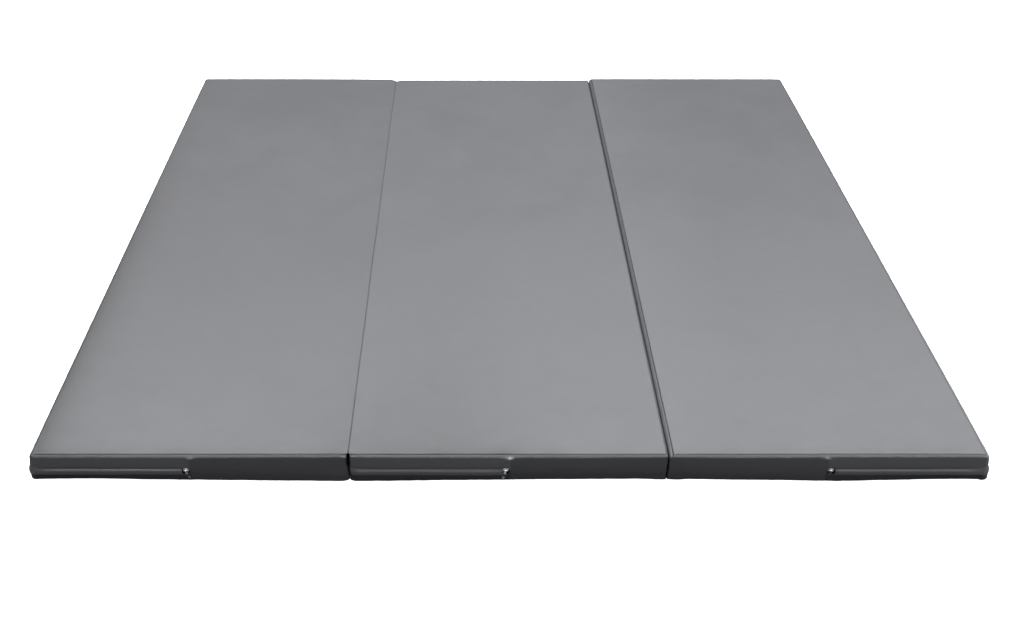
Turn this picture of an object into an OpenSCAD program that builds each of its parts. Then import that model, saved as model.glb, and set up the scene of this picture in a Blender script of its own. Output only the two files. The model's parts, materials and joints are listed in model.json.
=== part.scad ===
// Folding gym mat: three covered foam panels that fold in a Z.
// The left fold is hinged along the top face and the right fold along the bottom face.
// Each cover has a zip round one front corner, under a flap.
// Frame: X across the panels, Y along the folds (front end at -Y), Z up,
// origin on the floor under the mat's centre.
// Wall sections are drawn in [u, z]: u is outwards from the wall's outer face, z is up.

/* [Mat] */
// Width of one of the three panels
panel_w = 497; // [400:1:600]
// Length of the mat along its folds
mat_l = 1500; // [1000:10:2000]
// Thickness of the mat
mat_h = 50; // [46:1:70]
// Gap between the walls of neighbouring panels
fold_gap = 4.5; // [4:0.5:6]

/* [Cover] */
// Thickness of the coated fabric
skin = 1; // [0.6:0.1:1.2]
// Radius of the panel corners seen from above
corner_r = 10; // [10:1:30]
// Radius of the rounded top edge
shoulder_r = 5; // [3:0.5:6]
// Radius of the rounded bottom edge
foot_r = 5; // [4:0.5:6]
// Free space between two sewn pieces
ease = 0.2; // [0.1:0.05:0.3]
// Width of the hinge web's margin, sewn inside the middle panel's sheet
web_margin = 14; // [8:1:30]

/* [Foam] */
// How far the foam stands back from the outside of the walls
foam_in = 7; // [7:0.5:9]
// How far the foam stands back from the sheets
foam_gap = 0.9; // [0.8:0.1:1.5]

/* [Zip] */
// Height of the zip's centre line above the floor
zip_z = 20; // [20:0.5:23]
// Distance from the front corner to the end of the zip
zip_front = 252; // [150:1:300]
// Distance from the zip's other end to the far end of the panel
zip_far = 150; // [100:10:400]
// Height of the opening between the two wall bands
zip_open = 13; // [12:0.5:14]
// Width of one zip tape
tape_w = 10.5; // [9:0.5:12]
// Distance from the front corner to the middle of the closed slider
slider_at = 244; // [140:1:244]

/* [Slider] */
// Length of the slider along the zip
slider_l = 9; // [8:0.5:10]
// Height of the slider across the zip
slider_h = 8; // [8:0.5:9]
// Length of the pull below its pivot
pull_l = 16.5; // [14:0.5:17]
// Width of the pull
pull_w = 5; // [4.5:0.1:5]

/* [Flap] */
// Height of the flap's sewn edge above the zip's centre line
flap_up = 7; // [7:0.5:9]
// Height of the flap's free edge below the zip's centre line
flap_down = 8; // [7:0.5:12]

/* [Hidden] */
$fn = 48;

// Panel
half_w = panel_w / 2;
half_l = mat_l / 2;
corner_x = half_w - corner_r;             // centres of the corner arcs
corner_y = half_l - corner_r;
pitch = panel_w + fold_gap;               // distance between panel centres
flat_top = mat_h - skin - foam_gap;       // top of the foam and of a wall that ends under a sheet
flat_foot = skin + foam_gap;              // bottom of the foam and of a wall that ends over a sheet

// Hinges
slit = 1.2;                               // half the gap between two sheets over a fold
hinge_l = mat_l - 2 * (corner_r + 0.5);
web_half = 1.0;                           // half the width of a web in that gap
web_t = 0.5;                              // thickness of the sewn margin
web_gap = 0.2;                            // space between a web and the foam's face level

// Zip
x_seam = -half_w + zip_front;             // upright seam at the zip's end
x_slider = -half_w + slider_at;           // middle of the slider
y_far = half_l - zip_far;                 // the zip's far end on the long side
split = 0.5;                              // from the centre line to the tapes and coils
tape_u = -5.3;                            // back face of the tapes
tape_t = 0.5;                             // thickness of the tapes
coil_u = -4.65;                           // back face of the coils
coil_front_u = -3.0;                      // front face of the coils
coil_h = 2.1;                             // height of one coil
pivot_u = -0.2;                           // axis of the pull

// Flap
flap_u = 0.75;                            // axis of the rolled edge
flap_z = zip_z + flap_up;
flap_front_u = 2.45;                      // outer face of the hanging strip
flap_t = 1;                               // thickness of the hanging strip

charcoal = [0.20, 0.20, 0.215];
sheet_grey = [0.36, 0.365, 0.375];
zip_black = [0.07, 0.07, 0.075];
nickel = [0.75, 0.75, 0.76];
foam_white = [0.9, 0.9, 0.88];

SIDES = ["left", "middle", "right"];
PIECES = ["foam_core", "top_sheet", "bottom_sheet", "plain_wall", "upper_band", "lower_band",
          "flap_front", "flap_side", "upper_tape", "lower_tape", "upper_coil", "lower_coil",
          "slider", "pull", "upper_top_stop", "lower_top_stop", "bottom_stop"];

// Which panel edges are rounded; the others end flat at a hinge.
// The zip's edge is the panel's own left edge; the right panel is a mirror image.
function zip_top_round(side) = side != "middle";
function far_top_round(side) = side != "left";
function far_foot_round(side) = side == "left";

// Puts a panel's parts where the panel lies
module place(side) {
    if (side == "left") translate([-pitch, 0, 0]) children();
    if (side == "middle") children();
    if (side == "right") translate([pitch, 0, 0]) mirror([1, 0, 0]) children();
}

// ---- Sections and sweeps ----

// Panel outline seen from above, drawn in by "inset"
module inset_plate(inset) {
    w = panel_w - 2 * inset;
    l = mat_l - 2 * inset;
    r = corner_r - inset;
    square([w - 2 * r, l], center = true);
    square([w, l - 2 * r], center = true);
    for (x = [-1, 1], y = [-1, 1])
        translate([x * (w / 2 - r), y * (l / 2 - r)]) circle(r = r);
}

// Cutter that rounds an edge: a square from height z, less a circle centred at centre_z
module edge_cutter(r, u, z, centre_z) difference() {
    translate([u, z]) square([r + 1, r + 1]);
    translate([u, centre_z]) circle(r = r);
}

// Filled section of a panel's edge, "off" inside the outer face
module edge_blank(off, top_round, foot_round) {
    reach = 11;
    top_r = top_round ? shoulder_r - off : 0;
    low_r = foot_round ? foot_r - off : 0;
    top_z = mat_h - off - top_r;
    difference() {
        translate([-reach, off]) square([reach - off, mat_h - 2 * off]);
        if (top_round) edge_cutter(top_r, -off - top_r, top_z, top_z);
        if (foot_round) edge_cutter(low_r, -off - low_r, off - 1, off + low_r);
    }
}

// Section of a wall: a skin that ends where its rounded edges meet the sheets
module wall_section(top_round, foot_round) {
    deep = 20;     // cutters start this far inside the outer face
    cut_h = 10;
    difference() {
        edge_blank(0, top_round, foot_round);
        edge_blank(skin, top_round, foot_round);
        translate([-deep, mat_h / 2]) square([deep - shoulder_r, mat_h]);
        translate([-deep, -mat_h / 2]) square([deep - foot_r, mat_h]);
        if (!top_round) translate([-deep, flat_top]) square([deep + 10, cut_h]);
        if (!foot_round) translate([-deep, flat_foot - cut_h]) square([deep + 10, cut_h]);
    }
}

// Straight runs and corners of a section round a panel
module front_run(x0, x1)
    translate([x0, -half_l, 0]) rotate([90, 0, 90])
        linear_extrude(x1 - x0) mirror([1, 0, 0]) children();
module back_run(x0, x1)
    translate([x0, half_l, 0]) rotate([90, 0, 90]) linear_extrude(x1 - x0) children();
module zip_side_run(y0, y1)
    translate([-half_w, y1, 0]) rotate([90, 0, 0])
        linear_extrude(y1 - y0) mirror([1, 0, 0]) children();
module far_side_run(y0, y1)
    translate([half_w, y1, 0]) rotate([90, 0, 0]) linear_extrude(y1 - y0) children();
module corner(side_x, side_y, turn)
    translate([side_x * corner_x, side_y * corner_y, 0]) rotate([0, 0, turn])
        rotate_extrude(angle = 90) translate([corner_r, 0]) children();

// The whole wall of one panel
module wall_ring(side) {
    front_run(-corner_x, corner_x) wall_section(true, true);
    back_run(-corner_x, corner_x) wall_section(true, true);
    zip_side_run(-corner_y, corner_y) wall_section(zip_top_round(side), true);
    far_side_run(-corner_y, corner_y) wall_section(far_top_round(side), far_foot_round(side));
    corner(-1, -1, 180) wall_section(true, true);
    corner(1, -1, 270) wall_section(true, true);
    corner(1, 1, 0) wall_section(true, true);
    corner(-1, 1, 90) wall_section(true, true);
}

// A section swept along the zip: front, round the corner, then the long side
module along_zip(x_end, y_end) {
    front_run(-corner_x, x_end) children();
    corner(-1, -1, 180) children();
    zip_side_run(-corner_y, y_end) children();
}

// L-shaped block round the stretch of wall that holds the zip, "more" longer at both ends
module zip_stretch(z0, z1, more = 0) {
    outside = 5;
    depth = corner_r + 1 + outside;
    translate([0, 0, z0]) linear_extrude(z1 - z0)
        translate([-half_w - outside, -half_l - outside]) union() {
            square([zip_front + outside + more, depth]);
            square([depth, y_far + half_l + outside + more]);
        }
}

// ---- Foam and cover ----

module foam_core() color(foam_white)
    translate([0, 0, flat_foot]) linear_extrude(flat_top - flat_foot) inset_plate(foam_in);

// Flat sheet with its edge inset from the walls, run out to the fold where it is hinged
module sheet(inset, z, out_left, out_right) {
    run_out = inset + 10;
    edge_x = half_w + fold_gap / 2 - slit;
    translate([0, 0, z]) linear_extrude(skin) union() {
        inset_plate(inset);
        if (out_left) translate([-edge_x, -hinge_l / 2]) square([run_out, hinge_l]);
        if (out_right) translate([edge_x - run_out, -hinge_l / 2]) square([run_out, hinge_l]);
    }
}
module top_sheet(side) color(sheet_grey)
    sheet(shoulder_r + ease, mat_h - skin, !zip_top_round(side), !far_top_round(side));
module bottom_sheet(side) color(charcoal)
    sheet(foot_r + ease, 0, false, !far_foot_round(side));

module plain_wall(side) color(charcoal) difference() {
    wall_ring(side);
    zip_stretch(-1, mat_h + 1, ease);
}

// Wall from z0 to z1 beside the zip, with a lip turned inwards at lip_z
module band(side, z0, z1, lip_z) {
    lip_front_u = -0.5;
    intersection() {
        wall_ring(side);
        zip_stretch(z0, z1);
    }
    along_zip(x_seam, y_far) translate([coil_u, lip_z]) square([lip_front_u - coil_u, skin]);
}
module upper_band(side) color(charcoal)
    band(side, zip_z + zip_open / 2, mat_h + 1, zip_z + zip_open / 2);
module lower_band(side) color(charcoal)
    band(side, -1, zip_z - zip_open / 2, zip_z - zip_open / 2 - skin);

// Section of the flap: a rolled edge where it is sewn, and the strip that hangs from it
module flap_root() translate([flap_u, flap_z]) circle(r = 0.5);
module flap_strip() {
    back_u = flap_front_u - flap_t;
    free_z = zip_z - flap_down;
    polygon([[flap_u - 0.4, flap_z], [flap_u + 0.4, flap_z],
             [flap_front_u, flap_z - 3], [flap_front_u, free_z],
             [back_u, free_z], [back_u, flap_z - 3.2]]);
}
// The front flap stops short of the slider; the side flap takes in the corner
module flap_front() color(charcoal) {
    x0 = -corner_x + 3;
    x1 = x_slider - slider_l / 2 - 1.5;
    front_run(x0, x1) flap_root();
    front_run(x0, x1) flap_strip();
}
module flap_side() color(charcoal) {
    x_end = -corner_x + 2.5;
    along_zip(x_end, y_far) flap_root();
    along_zip(x_end, y_far) flap_strip();
}

// ---- Zip ----

module tape(z) along_zip(x_seam - ease, y_far - ease)
    translate([tape_u, z]) square([tape_t, tape_w]);
module upper_tape() color(zip_black) tape(zip_z + split);
module lower_tape() color(zip_black) tape(zip_z - split - tape_w);

module coil(z) along_zip(x_slider + 4.8, y_far - 10)
    translate([coil_u, z]) square([coil_front_u - coil_u, coil_h]);
module upper_coil() color(zip_black) coil(zip_z + split);
module lower_coil() color(zip_black) coil(zip_z - split - coil_h);

// Top stops: one clip over the edge of each tape at the closed end
module top_stop(flip) {
    x0 = x_slider + 5.1;
    length = 2;
    play = 0.1;     // between the tape's faces and the slot
    front_run(x0, x0 + length) translate([0, zip_z]) mirror([0, flip ? 1 : 0, 0]) difference() {
        translate([-5.85, 0.2]) square([1.7, 2.2]);
        translate([tape_u - play, 0.42]) square([tape_t + 2 * play, 3]);
    }
}
module upper_top_stop() color(nickel) top_stop(false);
module lower_top_stop() color(nickel) top_stop(true);

// Bottom stop: a staple across both tapes at the far end
module bottom_stop() color(nickel) {
    height = 4.8;
    play = 0.15;
    slot_h = 5;
    bridge = 0.3;   // half the height left between the slots
    zip_side_run(y_far - 8, y_far - 5) translate([0, zip_z]) difference() {
        translate([-6.1, -height / 2]) square([2.1, height]);
        for (z = [bridge, -bridge - slot_h])
            translate([tape_u - play, z]) square([tape_t + 2 * play, slot_h]);
    }
}

// Cylinder on the pull's pivot axis, centred on the slider
module pivot_cylinder(r, half)
    translate([x_slider - half, -half_l - pivot_u, zip_z]) rotate([0, 90, 0])
        cylinder(r = r, h = 2 * half);

// Slider: two plates joined by a post between the coils, with rims,
// and a bar on two lugs that carries the pull
module slider() color(nickel) {
    plate_t = 1.1;
    front_plate_u = -2.7;
    rim_h = 0.9;
    post_l = 2.5;
    post_h = 0.6;
    bar_half = 3.6;
    lug_l = 1.2;
    lug_h = 1.8;
    front_run(x_slider - slider_l / 2, x_slider + slider_l / 2) {
        for (u = [front_plate_u, -6.6])
            translate([u, zip_z - slider_h / 2]) square([plate_t, slider_h]);
        for (s = [-1, 1])
            translate([-4.4, zip_z + s * (slider_h - rim_h) / 2 - rim_h / 2]) square([2, rim_h]);
    }
    front_run(x_slider - post_l / 2, x_slider + post_l / 2)
        translate([-5.8, zip_z - post_h / 2]) square([3.4, post_h]);
    for (x = [-bar_half, bar_half - lug_l])
        front_run(x_slider + x, x_slider + x + lug_l)
            translate([front_plate_u, zip_z - lug_h / 2]) square([3.1, lug_h]);
    pivot_cylinder(0.6, bar_half);
}

// Pull: an eye round the bar, a neck and a rounded blade with a hole
module pull() color(nickel) {
    eye_half = 2.1;
    blade_u = 0.25;                         // back face of the blade
    blade_t = 1;
    blade_top = zip_z - 2;
    neck_foot = blade_top - 1.5;
    tip_z = zip_z - pull_l + pull_w / 2;    // centre of the rounded end
    difference() {
        union() {
            pivot_cylinder(1.25, eye_half);
            front_run(x_slider - eye_half, x_slider + eye_half)
                polygon([[pivot_u, zip_z - 0.9], [1.05, zip_z - 0.2],
                         [blade_u + blade_t, neck_foot], [blade_u, neck_foot]]);
            translate([x_slider, -half_l - blade_u, 0]) rotate([90, 0, 0])
                linear_extrude(blade_t) union() {
                    translate([-pull_w / 2, tip_z]) square([pull_w, blade_top - tip_z]);
                    translate([0, tip_z]) circle(r = pull_w / 2);
                }
        }
        pivot_cylinder(0.7, 5);
        translate([x_slider, -half_l + 1, tip_z]) rotate([90, 0, 0]) cylinder(r = 1.2, h = 4);
    }
}

// ---- Hinge webs ----

// A strip in the slit between two sheets, with a margin inside the middle panel's sheet
module hinge_web(x, strip_z, margin_x, margin_z) translate([x, -hinge_l / 2, 0]) {
    translate([-web_half, 0, strip_z]) cube([2 * web_half, hinge_l, skin + web_t]);
    translate([margin_x, 0, margin_z]) cube([web_half + web_margin, hinge_l, web_t]);
}
module left_hinge_web() color(charcoal)
    hinge_web(-pitch / 2, flat_top + web_gap, 0, flat_top + web_gap);
module right_hinge_web() color(charcoal)
    hinge_web(pitch / 2, flat_foot - web_gap - skin - web_t,
              -web_half - web_margin, flat_foot - web_gap - web_t);

// ---- Nodes ----

module piece(name, side) {
    if (name == "foam_core") foam_core();
    if (name == "top_sheet") top_sheet(side);
    if (name == "bottom_sheet") bottom_sheet(side);
    if (name == "plain_wall") plain_wall(side);
    if (name == "upper_band") upper_band(side);
    if (name == "lower_band") lower_band(side);
    if (name == "flap_front") flap_front();
    if (name == "flap_side") flap_side();
    if (name == "upper_tape") upper_tape();
    if (name == "lower_tape") lower_tape();
    if (name == "upper_coil") upper_coil();
    if (name == "lower_coil") lower_coil();
    if (name == "slider") slider();
    if (name == "pull") pull();
    if (name == "upper_top_stop") upper_top_stop();
    if (name == "lower_top_stop") lower_top_stop();
    if (name == "bottom_stop") bottom_stop();
}

for (side = SIDES, name = PIECES)
    place(side) piece(name, side);
left_hinge_web();
right_hinge_web();
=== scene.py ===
import json
import math

import bmesh
import bpy
import numpy as np
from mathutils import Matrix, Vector

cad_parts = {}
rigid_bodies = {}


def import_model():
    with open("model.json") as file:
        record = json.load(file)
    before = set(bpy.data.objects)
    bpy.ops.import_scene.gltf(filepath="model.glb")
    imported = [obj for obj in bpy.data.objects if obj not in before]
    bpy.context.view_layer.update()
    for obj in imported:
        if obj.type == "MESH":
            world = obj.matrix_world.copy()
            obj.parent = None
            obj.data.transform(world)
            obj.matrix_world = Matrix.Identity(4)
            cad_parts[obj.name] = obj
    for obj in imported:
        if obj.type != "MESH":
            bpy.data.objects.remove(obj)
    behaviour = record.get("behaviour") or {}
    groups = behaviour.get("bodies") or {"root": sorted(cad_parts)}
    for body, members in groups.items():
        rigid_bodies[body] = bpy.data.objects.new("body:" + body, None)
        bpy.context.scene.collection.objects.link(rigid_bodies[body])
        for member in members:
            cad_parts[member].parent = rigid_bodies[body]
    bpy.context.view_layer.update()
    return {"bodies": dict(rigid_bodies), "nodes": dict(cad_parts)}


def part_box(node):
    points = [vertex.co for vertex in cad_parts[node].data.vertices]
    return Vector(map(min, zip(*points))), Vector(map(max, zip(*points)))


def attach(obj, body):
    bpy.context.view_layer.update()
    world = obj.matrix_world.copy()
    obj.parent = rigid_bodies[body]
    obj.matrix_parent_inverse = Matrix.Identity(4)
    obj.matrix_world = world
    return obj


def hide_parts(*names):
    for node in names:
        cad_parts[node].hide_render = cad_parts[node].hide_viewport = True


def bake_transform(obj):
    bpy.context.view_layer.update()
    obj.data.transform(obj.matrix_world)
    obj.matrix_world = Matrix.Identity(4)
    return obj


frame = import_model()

SIDES = ("left", "middle", "right")
MM = 0.001

# ---------------------------------------------------------------- sizes, from the frame (millimetres)


def box_mm(node):
    lo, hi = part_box(node)
    return np.array(lo) / MM, np.array(hi) / MM


CORNER = 10.0      # plan radius of a panel's corners
SHOULDER = 5.0     # radius of the rounded top edge
FOOT = 5.0         # radius of the rounded bottom edge
SKIN = 0.8         # thickness of the coated fabric
# how square each corner is in plan (2 is a circle): front far side, back far side, back zip side, front zip side
SQUARE = {"left": (5.0, 8.0, 2.3, 2.6), "middle": (7.0, 5.0, 5.0, 5.0), "right": (7.0, 5.0, 2.3, 2.7)}
# width of the shoulder on the far side, as a share of its usual width
FAR_SHOULDER = {"left": 1.0, "middle": 0.28, "right": 0.72}
TUCK_SHIFT = {"left": 0.0, "middle": -3.6, "right": -0.5}       # where the tuck lies beside the zip's end
TOP_ROUND = {"left": (True, False), "middle": (False, True), "right": (True, True)}     # (zip side, far side)
FOOT_ROUND = {"left": (True, True), "middle": (True, False), "right": (True, False)}


class Panel:
    """One panel in its own frame: the zip is at the panel's left front corner, and the right panel is a mirror image."""

    def __init__(self, side):
        self.side = side
        self.flip = -1.0 if side == "right" else 1.0
        lo, hi = box_mm(side + "_plain_wall")
        self.w, self.l, self.h = hi - lo
        self.cx, self.cy = (lo[0] + hi[0]) / 2, (lo[1] + hi[1]) / 2
        up, down = box_mm(side + "_upper_coil"), box_mm(side + "_lower_coil")
        self.zip_z = (up[0][2] + down[1][2]) / 2
        lo, hi = box_mm(side + "_slider")
        self.slider_x = self.flip * ((lo[0] + hi[0]) / 2 - self.cx)
        lo, hi = box_mm(side + "_upper_band")
        self.seam_x = (hi[0] if self.flip > 0 else lo[0]) * self.flip - self.cx * self.flip
        self.far_y = hi[1] - self.cy
        self.band_z = lo[2] + 0.0
        self.low_band_z = box_mm(side + "_lower_band")[1][2]
        lo, hi = box_mm(side + "_flap_front")
        self.flap_z = hi[2] - 0.5
        self.flap_x = (hi[0] if self.flip > 0 else lo[0]) * self.flip - self.cx * self.flip
        self.flap_x0 = (lo[0] if self.flip > 0 else hi[0]) * self.flip - self.cx * self.flip
        self.a, self.q, self.b = self.w - 2 * CORNER, math.pi * CORNER / 2, self.l - 2 * CORNER
        self.total = 2 * self.a + 2 * self.b + 4 * self.q
        self.s_left = 2 * self.a + self.b + 3 * self.q          # where the zip's long side starts, at its far end
        self.s_seam = self.seam_x + self.w / 2 - CORNER
        self.s_far = self.s_left + self.l / 2 - CORNER - self.far_y
        self.seed = {"left": 11, "middle": 23, "right": 37}[side]
        self.top_round, self.foot_round = TOP_ROUND[side], FOOT_ROUND[side]

    def outline(self, s):
        """Points and outward normals on the panel's wall in plan, s mm along it from the front edge's left end."""
        s = np.mod(np.asarray(s, float), self.total)
        x, y, nx, ny = (np.zeros_like(s) for _ in range(4))
        hw, hl, r = self.w / 2, self.l / 2, CORNER
        start = 0.0
        e0, e1, e2, e3 = SQUARE[self.side]
        for kind, length, data in (
            ("line", self.a, (-hw + r, -hl, 1, 0)), ("arc", self.q, (hw - r, -hl + r, -90, e0)),
            ("line", self.b, (hw, -hl + r, 0, 1)), ("arc", self.q, (hw - r, hl - r, 0, e1)),
            ("line", self.a, (hw - r, hl, -1, 0)), ("arc", self.q, (-hw + r, hl - r, 90, e2)),
            ("line", self.b, (-hw, hl - r, 0, -1)), ("arc", self.q, (-hw + r, -hl + r, 180, e3)),
        ):
            m = (s >= start) & (s <= start + length + 1e-9)
            t = s[m] - start
            if kind == "line":
                x0, y0, dx, dy = data
                x[m], y[m], nx[m], ny[m] = x0 + dx * t, y0 + dy * t, dy, -dx
            else:
                cx, cy, deg, e = data
                th = math.radians(deg) + t / r
                c, v = np.cos(th), np.sin(th)
                k = (np.abs(c) ** e + np.abs(v) ** e) ** (-1 / e)
                x[m], y[m] = cx + r * k * c, cy + r * k * v
                gx, gy = np.sign(c) * np.abs(c) ** (e - 1), np.sign(v) * np.abs(v) ** (e - 1)
                g = np.hypot(gx, gy)
                nx[m], ny[m] = gx / g, gy / g
            start += length
        return np.stack([x, y], -1), np.stack([nx, ny], -1)

    def side_weight(self, s, zip_side, far_side):
        """1 where the front and back sections apply, and zip_side or far_side on the long sides, easing over the corners."""
        s = np.mod(np.asarray(s, float), self.total)
        a, q, b = self.a, self.q, self.b
        knots = [0, a, a + q, a + q + b, a + 2 * q + b, 2 * a + 2 * q + b, 2 * a + 3 * q + b, 2 * a + 3 * q + 2 * b, self.total]
        values = [1, 1, far_side, far_side, 1, 1, zip_side, zip_side, 1]
        return np.interp(s, knots, values)

    def far_weight(self, s):
        """1 along the far side, easing to 0 over its corners."""
        return 1 - self.side_weight(s, 1.0, 0.0)

    def zip_weight(self, s):
        """1 along the zip's long side, easing to 0 over its corners."""
        return 1 - self.side_weight(s, 0.0, 1.0)

    def flare(self, s, z):
        """How far the outer long side stands out low down, and draws in at the top of the left panel, at s mm along the wall."""
        if self.side == "middle":
            return np.zeros(np.broadcast(s, z).shape)
        out = {"left": ([0, 4, 14, 25, 36, 44, 50], [1.6, 4.4, 3.3, 1.1, -0.9, -2.2, -2.3]),
               "right": ([0, 4, 14, 25, 36, 44, 50], [6.8, 9.0, 6.6, 3.4, 2.0, 0.2, -0.4])}[self.side]
        return self.zip_weight(s) * np.interp(z, *out)

    def world(self, p):
        """Panel coordinates in mm to the row frame in metres. The outer panels' covers are a little longer than the middle one's."""
        p = np.array(p, float)
        p[..., 1] += {"left": 1.6, "middle": -2.2, "right": 1.6}[self.side] * smooth01((p[..., 1] - self.l / 2 + 145.0) / 130.0)
        p[..., 0] = self.cx + self.flip * p[..., 0]
        p[..., 1] += self.cy
        return p * MM


# ---------------------------------------------------------------- mesh helpers


def smooth01(t):
    t = np.clip(t, 0, 1)
    return t * t * (3 - 2 * t)


def waves(seed, x, y, count, shortest, longest):
    """A sum of plane waves with fixed seeds, about -1 to 1."""
    rng = np.random.RandomState(seed)
    out = np.zeros(np.broadcast(x, y).shape)
    for _ in range(count):
        lam = shortest * (longest / shortest) ** rng.rand()
        ang, ph = rng.rand() * 2 * math.pi, rng.rand() * 2 * math.pi
        out = out + np.sin((np.cos(ang) * x + np.sin(ang) * y) * 2 * math.pi / lam + ph)
    return out / math.sqrt(count) * 0.7


def ripples(seed, s, count, shortest, longest):
    rng = np.random.RandomState(seed)
    out = np.zeros(np.shape(s))
    for _ in range(count):
        lam = shortest * (longest / shortest) ** rng.rand()
        out = out + np.sin(np.asarray(s) * 2 * math.pi / lam + rng.rand() * 2 * math.pi) * (0.5 + rng.rand())
    return out / math.sqrt(count) * 0.75


def hermite(xn, x, y):
    """Smooth interpolation of rows y at x."""
    x, xn = np.asarray(x, float), np.clip(xn, x[0], x[-1])
    m = np.gradient(y, x, axis=0)
    i = np.clip(np.searchsorted(x, xn, side="right") - 1, 0, len(x) - 2)
    h = x[i + 1] - x[i]
    t = (xn - x[i]) / h
    shape = (-1,) + (1,) * (y.ndim - 1)
    t, h = t.reshape(shape), h.reshape(shape)
    return ((2 * t**3 - 3 * t**2 + 1) * y[i] + (t**3 - 2 * t**2 + t) * h * m[i]
            + (-2 * t**3 + 3 * t**2) * y[i + 1] + (t**3 - t**2) * h * m[i + 1])


def make_object(name, verts, faces, material, smooth=True, flip=False):
    """A mesh object from world points in metres."""
    me = bpy.data.meshes.new(name)
    faces = [tuple(reversed(f)) for f in faces] if flip else faces
    me.from_pydata([tuple(v) for v in verts], [], faces)
    me.validate()
    if smooth:
        me.polygons.foreach_set("use_smooth", [True] * len(me.polygons))
    me.materials.append(material)
    me.update()
    ob = bpy.data.objects.new(name, me)
    bpy.context.scene.collection.objects.link(ob)
    return ob


def grid_faces(rows, cols, offset=0, wrap=False, flip=False):
    out = []
    for i in range(rows - 1):
        for j in range(cols if wrap else cols - 1):
            k = (j + 1) % cols
            f = (offset + i * cols + j, offset + i * cols + k, offset + (i + 1) * cols + k, offset + (i + 1) * cols + j)
            out.append(f[::-1] if flip else f)
    return out


def normals_of(g):
    """Unit normals of a grid of points, by its rows and columns."""
    du, dv = np.gradient(g, axis=0), np.gradient(g, axis=1)
    n = np.cross(dv, du)
    return n / np.maximum(np.linalg.norm(n, axis=-1, keepdims=True), 1e-9)


def shell(outer, inner):
    """A closed mesh between two grids of points, which are rows by columns by 3. The outer grid's normal is columns cross rows."""
    rows, cols = outer.shape[:2]
    n = rows * cols
    verts = np.concatenate([outer.reshape(-1, 3), inner.reshape(-1, 3)])
    faces = grid_faces(rows, cols, 0, flip=True) + grid_faces(rows, cols, n)
    for j in range(cols - 1):
        faces.append((j, j + 1, n + j + 1, n + j))
        k = (rows - 1) * cols + j
        faces.append((k + 1, k, n + k, n + k + 1))
    for i in range(rows - 1):
        k = i * cols
        faces.append((k + cols, k, n + k, n + k + cols))
        k = i * cols + cols - 1
        faces.append((k, k + cols, n + k + cols, n + k))
    return verts, faces


# ---------------------------------------------------------------- materials


def material(name, metallic=0.0):
    mat = bpy.data.materials.new(name)
    mat.use_nodes = True
    nt = mat.node_tree
    bsdf = nt.nodes["Principled BSDF"]
    bsdf.inputs["Metallic"].default_value = metallic
    return mat, nt, bsdf


def node(nt, kind, **inputs):
    n = nt.nodes.new(kind)
    for key, value in inputs.items():
        n.inputs[key.replace("_", " ")].default_value = value
    return n


def ramp(nt, source, stops):
    r = nt.nodes.new("ShaderNodeValToRGB")
    while len(r.color_ramp.elements) < len(stops):
        r.color_ramp.elements.new(0.5)
    for e, (pos, col) in zip(r.color_ramp.elements, stops):
        e.position = pos
        e.color = (col, col, col, 1) if isinstance(col, float) else (*col, 1)
    nt.links.new(source, r.inputs["Fac"])
    return r.outputs["Color"]


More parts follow.
